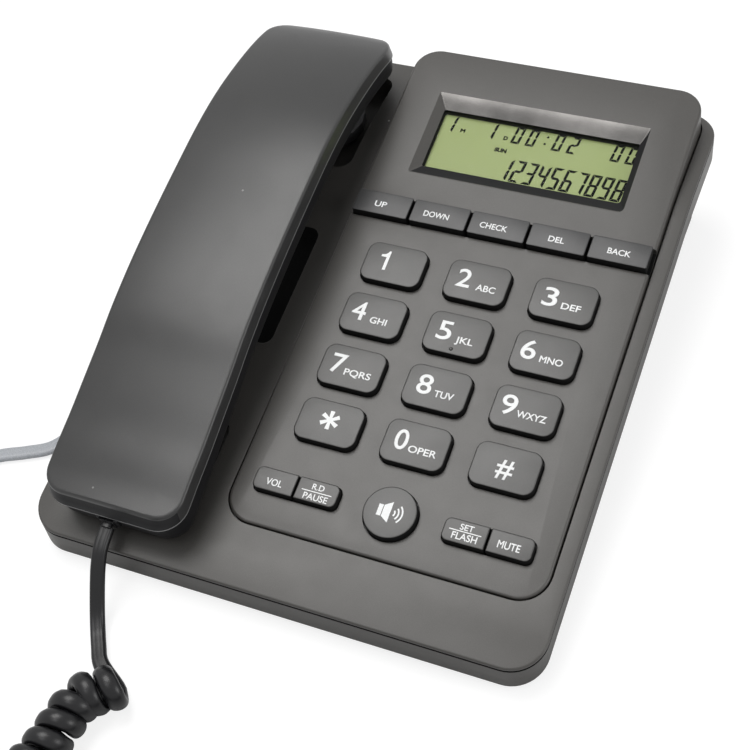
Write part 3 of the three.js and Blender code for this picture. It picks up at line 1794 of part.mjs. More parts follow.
function buildLineCord() {
  const back = deckBack - lowerInset - jackLip;
  const nose = new THREE.Vector3(0, -1, 0);
  const plug = plugSolid(linePlugWidth - 2 * gap, linePlugHeight - 2 * gap, linePlugLength - gap);
  const place = new THREE.Vector3(lineJackX, back + gap, lineJackZ + lineJackHeight / 2);
  place.addScaledVector(nose, -gap);
  addNode(phone, "line_plug", placedPlug(plug, place, nose), clearPlastic());

  const coil = straightEnds(coilCentres(), lineWidth);
  const coilStart = coil[0];
  const inDirection = coil[0].clone().sub(coil[1]).normalize();
  const route = [
    place.clone().add(new THREE.Vector3(0, plugTail + gap, 0)),
    ...vectorsOf(lineRoute),
    coilStart.clone().addScaledVector(inDirection, gap + 2 * lineWidth),
    coilStart.clone().addScaledVector(inDirection, gap),
  ];
  const half = lineWidth / 2;
  const thin = lineThickness / 2;
  addCord("line_cord", spacedPoints(route, lineSteps), half, thin, leadSides, greyCordPlastic());
  const wound = addCord("line_cord_coil", coil, half, thin, coilSides, greyCordPlastic());
  leastGap("line_cord_coil", wound, coilSteps);

  const coilEnd = coil[coil.length - 1];
  const outDirection = coilEnd.clone().sub(coil[coil.length - 2]).normalize();
  outDirection.z = 0;
  const freePlace = coilEnd.clone().addScaledVector(outDirection.normalize(), plugTail + gap);
  addNode(phone, "line_free_plug", placedPlug(plug, freePlace, outDirection), clearPlastic());
}

addNode(phone, "lower_housing", buildLowerHousing(), housingPlastic());
addNode(phone, "upper_housing", buildUpperHousing(), housingPlastic());
addNode(panelGroup, "keypad_panel", buildKeypadPanel(), housingPlastic());
buildDisplay();
buildMatAndBoard();
buildKeys();
buildBaseInside();
buildJacks();
addNode(panelGroup, "handset_upper_shell", buildHandsetUpper(), housingPlastic());
addNode(panelGroup, "handset_lower_shell", buildHandsetLower(), housingPlastic());
buildHandsetInside();
buildHandsetCord();
buildLineCord();

export default phone;
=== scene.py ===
import json
import math

import bpy
import bmesh
import numpy as np
from mathutils import Matrix, Vector

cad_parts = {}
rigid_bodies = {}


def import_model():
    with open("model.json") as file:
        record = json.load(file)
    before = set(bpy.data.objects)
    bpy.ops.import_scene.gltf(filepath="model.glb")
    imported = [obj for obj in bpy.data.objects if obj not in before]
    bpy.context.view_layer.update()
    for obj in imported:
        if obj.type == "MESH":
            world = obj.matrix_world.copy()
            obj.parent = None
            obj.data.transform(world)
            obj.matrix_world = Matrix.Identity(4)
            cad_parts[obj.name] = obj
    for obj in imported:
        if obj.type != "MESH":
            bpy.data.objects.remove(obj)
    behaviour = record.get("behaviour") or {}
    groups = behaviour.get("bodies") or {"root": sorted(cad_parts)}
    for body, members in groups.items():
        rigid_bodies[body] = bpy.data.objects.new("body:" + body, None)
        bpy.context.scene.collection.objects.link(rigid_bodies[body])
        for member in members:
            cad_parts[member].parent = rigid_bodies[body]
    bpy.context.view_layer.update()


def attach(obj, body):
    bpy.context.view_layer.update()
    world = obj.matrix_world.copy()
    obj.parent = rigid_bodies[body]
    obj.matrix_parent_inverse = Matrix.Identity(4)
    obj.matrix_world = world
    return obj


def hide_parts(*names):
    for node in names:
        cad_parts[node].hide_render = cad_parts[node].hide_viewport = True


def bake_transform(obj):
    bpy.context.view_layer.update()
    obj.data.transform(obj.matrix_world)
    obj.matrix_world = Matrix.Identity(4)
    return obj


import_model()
MM = 0.001
scene = bpy.context.scene


def linked(name, data):
    """An object with this data in the scene."""
    obj = bpy.data.objects.new(name, data)
    scene.collection.objects.link(obj)
    return obj


# Camera

CAMERA_PLACE = Vector((143.1, -271.157, 367.0)) * MM
CAMERA_RIGHT = Vector((0.9232, 0.3692, -0.1069)).normalized()
CAMERA_FORWARD = Vector((-0.3115, 0.5557, -0.7708)).normalized()
CAMERA_LENS, CAMERA_SENSOR = 68.83, 36.0
camera_up = CAMERA_RIGHT.cross(CAMERA_FORWARD).normalized()
camera_right = CAMERA_FORWARD.cross(camera_up).normalized()
camera_data = bpy.data.cameras.new("camera")
camera_data.lens = CAMERA_LENS
camera_data.sensor_width = CAMERA_SENSOR
camera_data.clip_start = 0.01
camera = linked("camera", camera_data)
camera_axes = Matrix((camera_right, camera_up, -CAMERA_FORWARD)).transposed()
camera.matrix_world = Matrix.Translation(CAMERA_PLACE) @ camera_axes.to_4x4()
scene.camera = camera

# Sizes, in mm

BASE_W, BASE_D, BASE_RADIUS = 163.0, 202.382, 11
FRONT_H, SKIRT = 12.37, 10.37
DECK_TILT = math.radians(9.8)
DECK_FRONT, DECK_BACK = -BASE_D / 2, BASE_D / 2
REAR_LENGTH, REAR_DROP = 41.65, 0.4
BEND_Y = DECK_BACK - REAR_LENGTH
BEND_HALF = 8.0
PANEL_TILT = math.radians(11.0)
PANEL_X, PANEL_START = 26.5, 115.05
PANEL_PLACE = Vector((PANEL_X, DECK_FRONT + PANEL_START * math.cos(PANEL_TILT),
                      FRONT_H + PANEL_START * math.sin(PANEL_TILT)))
PANEL = Matrix.Translation(PANEL_PLACE) @ Matrix.Rotation(PANEL_TILT, 4, "X")
PANEL_FRONT, PANEL_BACK, PANEL_W = -95.0, 88.5, 100.0
PANEL_D = PANEL_BACK - PANEL_FRONT
PANEL_MIDDLE = (0, (PANEL_FRONT + PANEL_BACK) / 2)
PANEL_RADII = (9.2, 9.2, 8.6, 8.6)
to_panel = PANEL.inverted()
turn = to_panel.to_3x3()


def deck_z(y):
    slope = lambda v: FRONT_H + (v - DECK_FRONT) * math.tan(DECK_TILT)
    rear = lambda v: slope(BEND_Y) - REAR_DROP * (v - BEND_Y) / REAR_LENGTH
    if y <= BEND_Y - BEND_HALF:
        return slope(y)
    if y >= BEND_Y + BEND_HALF:
        return rear(y)
    t = (y - BEND_Y + BEND_HALF) / (2 * BEND_HALF)
    a, b, c = slope(BEND_Y - BEND_HALF), slope(BEND_Y), rear(BEND_Y + BEND_HALF)
    return (1 - t) ** 2 * a + 2 * t * (1 - t) * b + t * t * c


# Mesh helpers

def new_object(name, verts, faces, matrix=None, angle=30.0):
    """A mesh object from points in mm, placed by matrix, with smooth faces and sharp edges by angle."""
    mesh = bpy.data.meshes.new(name)
    mesh.from_pydata([tuple(v) for v in verts], [], [tuple(f) for f in faces])
    mesh.validate()
    bm = bmesh.new()
    bm.from_mesh(mesh)
    bmesh.ops.remove_doubles(bm, verts=bm.verts, dist=1e-5)
    bmesh.ops.recalc_face_normals(bm, faces=bm.faces)
    bm.to_mesh(mesh)
    bm.free()
    obj = linked(name, mesh)
    if matrix is not None:
        mesh.transform(matrix)
    mesh.transform(Matrix.Scale(MM, 4))
    smooth(obj, angle)
    return obj


def smooth(obj, angle=30.0):
    obj.data.shade_smooth()
    obj.data.set_sharp_from_angle(angle=math.radians(angle))


def evaluated_mesh(obj):
    return bpy.data.meshes.new_from_object(obj.evaluated_get(bpy.context.evaluated_depsgraph_get()))


def evaluated(obj):
    mesh = evaluated_mesh(obj)
    old = obj.data
    obj.modifiers.clear()
    obj.data = mesh
    mesh.materials.clear()
    for poly in mesh.polygons:
        poly.material_index = 0
    bpy.data.meshes.remove(old)


def boolean(obj, tools, operation="DIFFERENCE"):
    for tool in tools:
        modifier = obj.modifiers.new("cut", "BOOLEAN")
        modifier.operation = operation
        modifier.object = tool
        modifier.solver = "MANIFOLD"
    bpy.context.view_layer.update()
    evaluated(obj)
    remove(tools)


def remove(objects):
    for obj in objects:
        mesh = obj.data
        bpy.data.objects.remove(obj)
        bpy.data.meshes.remove(mesh)


def joined(name, objects):
    bm = bmesh.new()
    for obj in objects:
        bm.from_mesh(obj.data)
    mesh = bpy.data.meshes.new(name)
    bm.to_mesh(mesh)
    bm.free()
    result = linked(name, mesh)
    remove(objects)
    return result


def outline(width, depth, radii, inset=0.0, steps=8, straight=1, centre=(0.0, 0.0)):
    """Points of a rounded rectangle, with its radii from the front left corner counter-clockwise."""
    if not hasattr(radii, "__len__"):
        radii = (radii,) * 4
    hx, hy = width / 2 - inset, depth / 2 - inset
    corners = [(-hx, -hy, radii[0], math.pi), (hx, -hy, radii[1], 1.5 * math.pi),
               (hx, hy, radii[2], 0.0), (-hx, hy, radii[3], 0.5 * math.pi)]
    arcs = []
    for cx, cy, radius, start in corners:
        r = max(radius - inset, 0.02)
        ox, oy = cx + (r if cx < 0 else -r), cy + (r if cy < 0 else -r)
        angles = [start + a * math.pi / 2 / steps for a in range(steps + 1)]
        arcs.append([(ox + r * math.cos(a), oy + r * math.sin(a)) for a in angles])
    points = []
    for (x1, y1), arc in zip((arcs[1][0], arcs[2][0], arcs[3][0], arcs[0][0]), arcs):
        x0, y0 = arc[-1]
        points += arc
        points += [(x0 + (x1 - x0) * (k / straight), y0 + (y1 - y0) * (k / straight))
                   for k in range(1, straight)]
    return [(x + centre[0], y + centre[1]) for x, y in points]


def loft(rings, cap_first=True, cap_last=True):
    n = len(rings[0])
    verts = [p for ring in rings for p in ring]
    faces = []
    for k in range(len(rings) - 1):
        for i in range(n):
            j = (i + 1) % n
            faces.append((k * n + i, k * n + j, (k + 1) * n + j, (k + 1) * n + i))
    if cap_first:
        faces.append(tuple(range(n))[::-1])
    if cap_last:
        faces.append(tuple((len(rings) - 1) * n + i for i in range(n)))
    return verts, faces


def fillet(radius, inset0, top, steps=4):
    """Pairs of inset and height for a quarter round that ends at height top."""
    return [(inset0 + radius * (1 - math.cos(a * math.pi / 2 / steps)),
             top - radius + radius * math.sin(a * math.pi / 2 / steps)) for a in range(steps + 1)]


def flat_ring(points, z):
    return [(x, y, z) for x, y in points]


def stack(name, width, depth, radii, profile, centre=(0, 0), steps=8, straight=1, matrix=None):
    """Rounded rectangles on top of each other, one for each pair of inset and height."""
    return new_object(name, *loft([flat_ring(outline(width, depth, radii, inset, steps, straight, centre), z)
                                   for inset, z in profile]), matrix)


def prism(name, points, low, high, matrix=None):
    return new_object(name, *loft([flat_ring(points, low), flat_ring(points, high)]), matrix)


def dress(piece, body, node, slot, *materials):
    """Give a piece its materials, the body it moves with and the node it replaces; slot is not used."""
    for material in materials:
        piece.data.materials.append(material)
    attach(piece, body)
    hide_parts(node)


def circle(radius, centre=(0, 0), count=48, start=0.0):
    return [(centre[0] + radius * math.cos(start + 2 * math.pi * i / count),
             centre[1] + radius * math.sin(start + 2 * math.pi * i / count)) for i in range(count)]


# Materials

BUMP_HEIGHT = 0.00004


def nodes_of(material):
    material.use_nodes = True
    tree = material.node_tree
    return tree, tree.nodes["Principled BSDF"]


def feed(tree, socket, value):
    """Set a socket to a number or a colour, or link another socket to it."""
    if isinstance(value, (tuple, list)):
        socket.default_value = (*value, 1)
    elif isinstance(value, (int, float)):
        socket.default_value = value
    else:
        tree.links.new(value, socket)


def add_node(tree, kind, inputs=(), **settings):
    """A shader node with its settings, and its inputs as pairs of socket and value."""
    node = tree.nodes.new("ShaderNode" + kind)
    for key, value in settings.items():
        setattr(node, key, value)
    for socket, value in inputs:
        feed(tree, node.inputs[socket], value)
    return node


def ramp(tree, source, first, second, low=0.3):
    """A ramp from the first colour to the second, between low and 1 - low."""
    node = add_node(tree, "ValToRGB", (("Fac", source),))
    for element, place, colour in zip(node.color_ramp.elements, (low, 1 - low), (first, second)):
        element.position, element.color = place, (*colour, 1)
    return node.outputs["Color"]


def noise(tree, vector, scale, detail=2.0, roughness=0.5):
    return add_node(tree, "TexNoise", (("Scale", scale), ("Detail", detail), ("Roughness", roughness),
                                       ("Vector", vector))).outputs["Fac"]


def math_node(tree, operation, a, b, clamp=False):
    return add_node(tree, "Math", ((0, a), (1, b)), operation=operation, use_clamp=clamp).outputs[0]


def mix_colour(tree, factor, a, b, blend="MIX"):
    return add_node(tree, "Mix", ((0, factor), (6, a), (7, b)), data_type="RGBA", blend_type=blend).outputs[2]


def varied(colour, share):
    """A darker and a lighter version of a colour."""
    return tuple(c * (1 - share) for c in colour), tuple(min(1, c * (1 + share)) for c in colour)


def finish_surface(tree, shader, base, patches, rough, grain, strength, normal, sockets):
    """Base colour, patches between two roughnesses, a fine grain on soft edges, and plain values."""
    feed(tree, shader.inputs["Base Color"], base)
    feed(tree, shader.inputs["Roughness"], ramp(tree, patches, (rough[0],) * 3, (rough[1],) * 3))
    bump = add_node(tree, "Bump", (("Strength", strength), ("Distance", BUMP_HEIGHT), ("Height", grain),
                                   ("Normal", normal)))
    feed(tree, shader.inputs["Normal"], bump.outputs[0])
    for socket, value in sockets.items():
        shader.inputs[socket].default_value = value


def soft_edges(tree, radius):
    return add_node(tree, "Bevel", (("Radius", radius),), samples=6).outputs[0]


def plastic(name, colour, rough=0.5, grain=0.35, grain_scale=5200.0, mottle=0.04, dust=0.0,
            edge=0.0, bevel=0.00025, specular=0.5, metal=0.0):
    """Moulded plastic: fine grain, uneven sheen, soft edges, a little dust, and edges lightened both as
    rubbed wear and as a painted highlight.
    """
    material = bpy.data.materials.new(name)
    tree, shader = nodes_of(material)
    coords = add_node(tree, "TexCoord").outputs["Object"]
    fine = noise(tree, coords, grain_scale, 2.0, 0.6)
    smear = noise(tree, coords, 120.0, 5.0, 0.65)
    base = ramp(tree, noise(tree, coords, 38.0, 4.0, 0.6), *varied(colour, mottle))
    base = mix_colour(tree, 1.0, base, ramp(tree, fine, (0.86,) * 3, (1.12,) * 3, 0.35), "MULTIPLY")
    if dust:
        cells = add_node(tree, "TexVoronoi", (("Scale", 95.0), ("Randomness", 1.0), ("Vector", coords)))
        spot = math_node(tree, "LESS_THAN", cells.outputs["Distance"], 0.035)
        few = math_node(tree, "GREATER_THAN", noise(tree, coords, 60.0, 1.0), 0.62 - 0.1 * dust)
        amount = math_node(tree, "MULTIPLY", math_node(tree, "MULTIPLY", spot, few), 0.55 * dust)
        base = mix_colour(tree, amount, base, (0.6, 0.6, 0.58))
    normal = soft_edges(tree, bevel)
    # Edges lighter where the softened normal turns from the true one: rubbed wear, and partly a painted
    # highlight along edges
    if edge:
        true_normal = add_node(tree, "NewGeometry").outputs["Normal"]
        dot = add_node(tree, "VectorMath", ((0, normal), (1, true_normal)), operation="DOT_PRODUCT")
        edge_wear_and_highlight = math_node(tree, "SUBTRACT", 1.0, dot.outputs["Value"], True)
        edge_wear_and_highlight = math_node(tree, "MULTIPLY", edge_wear_and_highlight, 6.0 * edge, True)
        edge_wear_and_highlight = math_node(tree, "MULTIPLY", edge_wear_and_highlight, smear, True)
        base = mix_colour(tree, edge_wear_and_highlight, base, tuple(min(1, c * 2.4 + 0.02) for c in colour))
    finish_surface(tree, shader, base, smear, (rough - 0.02, rough + 0.025), fine, grain, normal,
                   {"Specular IOR Level": specular, "Metallic": metal})
    return material


def simple(name, colour, rough, metal=0.0, scale=900.0, vary=0.15, bump=0.1, bevel=0.0002, alpha=1.0,
           transmission=0.0, ior=1.5, specular=0.5):
    """A plain surface whose colour, sheen and height are a little uneven."""
    material = bpy.data.materials.new(name)
    tree, shader = nodes_of(material)
    coords = add_node(tree, "TexCoord").outputs["Object"]
    fine = noise(tree, coords, scale, 3.0, 0.6)
    finish_surface(tree, shader, ramp(tree, fine, *varied(colour, vary)), noise(tree, coords, scale / 4, 3.0),
                   (max(rough - 0.06, 0.02), rough + 0.06), fine, bump, soft_edges(tree, bevel),
                   {"Metallic": metal, "IOR": ior, "Transmission Weight": transmission, "Alpha": alpha,
                    "Specular IOR Level": specular})
    return material


DECK_COLOUR = (0.056, 0.053, 0.049)
KEY_COLOUR = (0.050, 0.049, 0.047)
HANDSET_COLOUR = (0.035, 0.035, 0.035)
housing_mat = plastic("housing_plastic", DECK_COLOUR, 0.40, dust=1.0, edge=0.7)
# Near-black painted shade for grooves, recesses and walls below the surfaces, where shade falls
recess_shade_mat = plastic("recess_painted_shade", (0.006, 0.006, 0.006), 0.7, grain=0.1, specular=0.1)
panel_mat = plastic("panel_plastic", DECK_COLOUR, 0.38, dust=1.0, edge=0.7)
key_mat = plastic("key_plastic", KEY_COLOUR, 0.36, grain=0.25, dust=0.5, edge=0.9, bevel=0.0002)
handset_mat = plastic("handset_plastic", HANDSET_COLOUR, 0.31, grain=0.2, dust=0.5, edge=0.5,
                      specular=0.42)
# Darker painted shade for the upper shell's front-facing side band
handset_front_shade_mat = plastic("handset_front_painted_shade", (0.018, 0.018, 0.019), 0.5, grain=0.2, edge=0.3,
                           specular=0.15)
# Light grey painted highlight along the upper shell's lower lip
handset_rim_highlight_mat = plastic("handset_rim_painted_highlight", (0.22, 0.22, 0.22), 0.35, grain=0.1, bevel=0.0001)
handset_low_mat = plastic("handset_lower_plastic", (0.009, 0.009, 0.010), 0.45, grain=0.2, dust=0.2,
                          edge=0.3, specular=0.15)
dark_mat = plastic("inner_plastic", (0.02, 0.02, 0.021), 0.55, dust=0.0)
cord_mat = plastic("cord_black", (0.005, 0.005, 0.006), 0.32, grain=0.12, grain_scale=2600.0, dust=0.0,
                   bevel=0.0001, specular=0.36)
grey_cord_mat = plastic("cord_grey", (0.42, 0.44, 0.47), 0.38, grain=0.1, grain_scale=2600.0, mottle=0.06,
                        bevel=0.0001)
legend_mat = simple("legend_white", (0.93, 0.94, 0.94), 0.5, vary=0.03, bump=0.03, bevel=0.00002)
rubber_mat = simple("foot_rubber", (0.012, 0.012, 0.012), 0.8, scale=1500, bump=0.4)
steel_mat = simple("zinc_steel", (0.55, 0.55, 0.56), 0.32, metal=1.0, scale=700)
board_mat = simple("board_green", (0.03, 0.12, 0.045), 0.4, scale=300)
brass_mat = simple("contact_gold", (0.8, 0.55, 0.2), 0.25, metal=1.0)
mat_rubber = simple("mat_rubber", (0.34, 0.35, 0.34), 0.75, scale=1500, bump=0.3)
battery_mat = simple("battery_jacket", (0.22, 0.12, 0.03), 0.3, metal=0.5)
clear_mat = simple("clear_plastic", (0.86, 0.88, 0.90), 0.08, vary=0.02, bump=0.02, transmission=0.85,
                   ior=1.49)
smoky_mat = simple("smoky_plastic", (0.016, 0.016, 0.018), 0.18, vary=0.05, bump=0.02, transmission=0.3,
                   ior=1.49, specular=0.2)
WIRES = (("red", (0.4, 0.015, 0.015)), ("green", (0.02, 0.22, 0.04)), ("yellow", (0.6, 0.45, 0.03)),
         ("dark", (0.02, 0.02, 0.02)))
wire_mats = [simple("wire_" + name, colour, 0.45) for name, colour in WIRES]


# Cords

def catmull(points, count):
    """Evenly spaced points on a centripetal Catmull-Rom curve through points, in mm."""
    p = [np.array(q, float) for q in points]
    p = [2 * p[0] - p[1]] + p + [2 * p[-1] - p[-2]]
    dense = []
    for i in range(1, len(p) - 2):
        four = p[i - 1:i + 3]
        knots = [0.0]
        for before, after in zip(four, four[1:]):
            knots.append(knots[-1] + np.linalg.norm(after - before) ** 0.5)
        for t in np.linspace(knots[1], knots[2], 40, endpoint=False):
            mix = lambda a, b, j, k: ((knots[k] - t) * a + (t - knots[j]) * b) / (knots[k] - knots[j])
            first = [mix(four[j], four[j + 1], j, j + 1) for j in range(3)]
            second = [mix(first[j], first[j + 1], j, j + 2) for j in range(2)]
            dense.append(mix(*second, 1, 2))
    dense = np.array(dense + [p[-2]])
    along = np.concatenate([[0], np.cumsum(np.linalg.norm(np.diff(dense, axis=0), axis=1))])
    want = np.linspace(0, along[-1], count)
    return np.stack([np.interp(want, along, dense[:, k]) for k in range(3)], axis=1)


def length_of(path):
    return float(np.linalg.norm(np.diff(path, axis=0), axis=1).sum())


def tangents(path):
    """The direction of a path at each of its points."""
    steps = np.array([path[min(i + 1, len(path) - 1)] - path[max(i - 1, 0)] for i in range(len(path))])
    return steps / np.linalg.norm(steps, axis=1)[:, None]


def tube(name, path, section, across, matrix=None):
    """A tube whose section (list of (a, b)) is carried along path; across gives the a direction."""
    rings = []
    for i, (centre, along, side) in enumerate(zip(path, tangents(path), across)):
        a = side - np.dot(side, along) * along
        a /= np.linalg.norm(a)
        b = np.cross(a, along)
        shape = section(i) if callable(section) else section
        rings.append([tuple(centre + a * u + b * v) for u, v in shape])
    return new_object(name, *loft(rings), matrix, 60)


def flat_section(width, thick, ribs=0, count=24, rib_depth=0.0):
    """A flat cable's section: round edges, with shallow lengthwise grooves on its broad sides."""
    shape = []
    for i in range(count):
        angle = 2 * math.pi * (i + 0.5) / count
        c, s = math.cos(angle), math.sin(angle)
        u = width / 2 * math.copysign(abs(c) ** 0.75, c)
        v = thick / 2 * math.copysign(abs(s) ** 0.55, s)
        if ribs:
            wave = 0.5 - 0.5 * math.cos(2 * math.pi * ribs * (u / width + 0.5))
            v -= math.copysign(rib_depth * (1 - wave), s)
        shape.append((u, v))
    return shape


LEAD_ROUTE = [(-51.6, -104.4, 18.0), (-51.1, -108.2, 15.2), (-50.5, -111.8, 11.4), (-49.8, -115.2, 7.6),
              (-48.6, -118.9, 4.6), (-46.8, -122.8, 2.8), (-44.3, -127.0, 2.5), (-41.3, -131.4, 2.5)]
CURL_ROUTE = [(-31.4, -138.9), (-33.6, -140.7), (-37.9, -143.9), (-39.6, -149.0), (-40.3, -155.0),
              (-41.1, -161.0), (-43.0, -168.8), (-45.2, -177.0), (-45.4, -185.0), (-43.0, -193.8),
              (-37.2, -202.6), (-27.6, -209.2), (-15.6, -211.4), (-4.0, -209.2), (5.2, -202.8),
              (11.0, -193.6), (13.6, -182.6), (16.2, -172.0), (22.2, -163.2), (31.2, -157.4),
              (41.4, -155.4), (51.6, -157.4), (60.2, -163.2), (66.0, -171.8), (68.0, -182.0),
              (67.4, -191.0)]
TAIL_ROUTE = [(80.2, -194.6, 2.5), (84.6, -199.6, 2.4), (84.8, -206.4, 2.3), (80.0, -211.6, 2.4),
              (73.0, -213.4, 2.8), (66.0, -213.6, 3.4)]
LINE_ROUTE = [(-50.2, 103.6, 12.0), (-51.2, 109.0, 10.0), (-54.4, 114.2, 6.2), (-60.0, 117.6, 3.0),
              (-67.8, 117.8, 1.5), (-76.0, 115.2, 1.25), (-83.2, 109.0, 1.25), (-87.2, 100.0, 1.25),
              (-88.4, 87.0, 1.25), (-88.2, 67.0, 1.25), (-88.0, 44.0, 1.25), (-88.0, 19.0, 1.25),
              (-88.0, -6.0, 1.25), (-88.0, -29.0, 1.25), (-88.4, -45.0, 1.25), (-90.4, -56.4, 1.25),
              (-95.4, -66.6, 1.25), (-103.2, -71.4, 1.25), (-110.8, -75.1, 1.25), (-116.0, -79.6, 1.25)]
LEAD_W, LEAD_T = 4.6, 2.9
CORD_R, CURL_R = 2.25, 4.9
CURL_HALF_WIDE, CURL_HALF_THICK = 2.8, 1.95
CURL_PITCH_SEEN, CURL_PITCH, CURL_SEEN, PITCH_CHANGE = 5.95, 6.3, 34.0, 20
FLAT_START = 0.35
TURN_STEPS, SECTION_STEPS = 20, 28
LINE_W, LINE_T = 4.9, 2.4
UP = (0, 0, 1)

PLUG_DIR = np.array([0.0, math.cos(PANEL_TILT), math.sin(PANEL_TILT)])
PLUG_PLACE = np.array(PANEL @ Vector((-78.5, -109.3, 7.0)))


def curl_path():
    """The cord's centre line in the coil, the coil's direction at each point, and the count of turns."""
    axis = catmull([(x, y, CURL_R + CORD_R + 0.1) for x, y in CURL_ROUTE], 4001)
    last = len(axis) - 1
    ds = length_of(axis) / last
    growth = CURL_PITCH - CURL_PITCH_SEEN
    pitch = [CURL_PITCH_SEEN + growth * min(max((i * ds - CURL_SEEN) / PITCH_CHANGE, 0), 1)
             for i in range(last)]
    turns = np.concatenate([[0], np.cumsum([ds / p for p in pitch])])
    whole = math.floor(turns[-1] + FLAT_START)
    turns = FLAT_START + turns * (whole - FLAT_START) / turns[-1]
    points, sides = [], []
    for k in range(whole * TURN_STEPS + 1):
        place = np.interp(k / TURN_STEPS, turns, np.arange(last + 1))
        i = min(int(place), last - 1)
        centre = axis[i] + (axis[i + 1] - axis[i]) * (place - i)
        along = axis[min(i + 2, last)] - axis[max(i - 1, 0)]
        along /= np.linalg.norm(along)
        across = np.cross(along, UP)
        across /= np.linalg.norm(across)
        angle = -math.pi / 2 - 2 * math.pi * k / TURN_STEPS
        points.append(centre + CURL_R * (across * math.cos(angle) + np.array(UP) * math.sin(angle)))
        sides.append(-along)
    return np.array(points), sides, whole


curls, curl_sides, curl_count = curl_path()
lead_start = PLUG_PLACE - PLUG_DIR * 1.4
lead_in = catmull([tuple(lead_start), *LEAD_ROUTE, tuple(curls[0] + (curls[0] - curls[1]) * 0.9),
                   tuple(curls[0])], 46)
tail_out = catmull([tuple(curls[-1]), tuple(curls[-1] + (curls[-1] - curls[-2]) * 1.2), *TAIL_ROUTE], 34)
handset_path = np.concatenate([lead_in[:-1], curls, tail_out[1:]])
lead_rings, curl_rings = len(lead_in) - 1, len(curls)
LEAD_FLAT = flat_section(LEAD_W, LEAD_T, 3, SECTION_STEPS, 0.28)
LEAD_CHANGE, TAIL_CHANGE, SEEN_RINGS, SEEN_CHANGE = 14, 12, 130, 40


def cord_section(i):
    """Flat and ribbed in the lead and the tail, round in the curls, and wider where they are seen."""
    into_tail = (i - lead_rings - curl_rings) / TAIL_CHANGE
    share = min(max(1 + (i - lead_rings) / LEAD_CHANGE, 0), 1, max(1 - into_tail, 0))
    share = share * share * (3 - 2 * share)
    seen = min(max((lead_rings + SEEN_RINGS - i) / SEEN_CHANGE, 0), 1)
    wide = CORD_R + (CURL_HALF_WIDE - CORD_R) * seen
    thick = CORD_R + (CURL_HALF_THICK - CORD_R) * seen
    angles = [2 * math.pi * (k + 0.5) / SECTION_STEPS for k in range(SECTION_STEPS)]
    return [(a * (1 - share) + wide * math.cos(t) * share, b * (1 - share) + thick * math.sin(t) * share)
            for (a, b), t in zip(LEAD_FLAT, angles)]


def transported(path, side):
    """Sideways directions along path, turned as little as possible from the first one."""
    result = []
    for along in tangents(path):
        side = side - np.dot(side, along) * along
        side = side / np.linalg.norm(side)
        result.append(side)
    return result


def cord_sides():
    """Along the coil in the curls, and turned back evenly to the plug's width in the lead."""
    back = transported(lead_in[::-1], curl_sides[0])[::-1]
    along = tangents(lead_in)[0]
    wanted = transported(lead_in[:2], np.array((1, 0.2, 0)))[0]
    twist = math.atan2(np.dot(np.cross(back[0], wanted), along), np.dot(back[0], wanted))
    twist = (twist + math.pi / 2) % math.pi - math.pi / 2
    sides = []
    for i in range(lead_rings):
        step = Vector(lead_in[i + 1] - lead_in[i]).normalized()
        turned = Matrix.Rotation(twist * (1 - i / lead_rings), 3, step)
        sides.append(np.array(turned @ Vector(back[i])))
    sides += curl_sides
    return sides + transported(tail_out, sides[-1])[1:]


handset_cord = tube("handset_cord_jacket", handset_path, cord_section, cord_sides())
handset_cord.data.materials.append(cord_mat)

COIL_PLACE, COIL_R = np.array((-153.0, -97.0, 0.0)), 25.5
COIL_TURNS, COIL_LAYERS, COIL_STEPS = 9, 3, 36


def coil_path():
    """The line cord's tied coil: layers of flat turns, wound in and out again."""
    points = []
    per_layer = COIL_TURNS / COIL_LAYERS
    for i in range(COIL_TURNS * COIL_STEPS + 1):
        turns = i / COIL_STEPS
        layer = min(math.floor(turns / per_layer), COIL_LAYERS - 1)
        within = turns - layer * per_layer
        inwards = within if layer % 2 == 0 else per_layer - within
        radius = COIL_R + (per_layer / 2 - inwards) * 5.8
        nearest = min(max(round(turns / per_layer), 1), COIL_LAYERS - 1)
        climb = (turns - nearest * per_layer) / 0.5 + 0.5
        level = nearest - 1 + min(max(climb, 0), 1)
        leaving = max(1 + (turns - COIL_TURNS) / 0.5, 0)
        angle = math.pi / 6 + turns * 2 * math.pi
        points.append(COIL_PLACE + (radius * math.cos(angle), radius * math.sin(angle),
                                    LINE_T / 2 + level * 3.8 + leaving * 4.8))
    return np.array(points)


coil = coil_path()
coil_in = (coil[0] - coil[1]) / np.linalg.norm(coil[0] - coil[1])
coil_in[2] = 0
coil_out = coil[-1] - coil[-2]
coil_out[2] = 0
coil_out /= np.linalg.norm(coil_out)
LINE_PLUG = np.array([-50.0, DECK_BACK - 5.8, 11.9])
line_start = LINE_PLUG + np.array([0, 3.4, 0])
line_run = catmull([tuple(line_start), *LINE_ROUTE, tuple(coil[0] + coil_in * 15),
                    tuple(coil[0] + coil_in * 5.2)], 150)
line_path = np.concatenate([line_run, coil, [coil[-1] + coil_out * 4.9]])
line_cord = tube("line_cord_jacket", line_path, flat_section(LINE_W, LINE_T, 2, SECTION_STEPS, 0.14),
                 [np.cross(along, UP) for along in tangents(line_path)])
line_cord.data.materials.append(grey_cord_mat)

PLUG_LENGTH, PLUG_LOW, PLUG_HIGH = 11.7, -1.0, 3.0
HANDSET_PLUG_W, LINE_PLUG_W = 7.05, 9.05
WIRE_PLACES = [(i - 1.5) * 1.02 for i in range(4)]
SIDEWAYS = np.array((1.0, 0, 0))


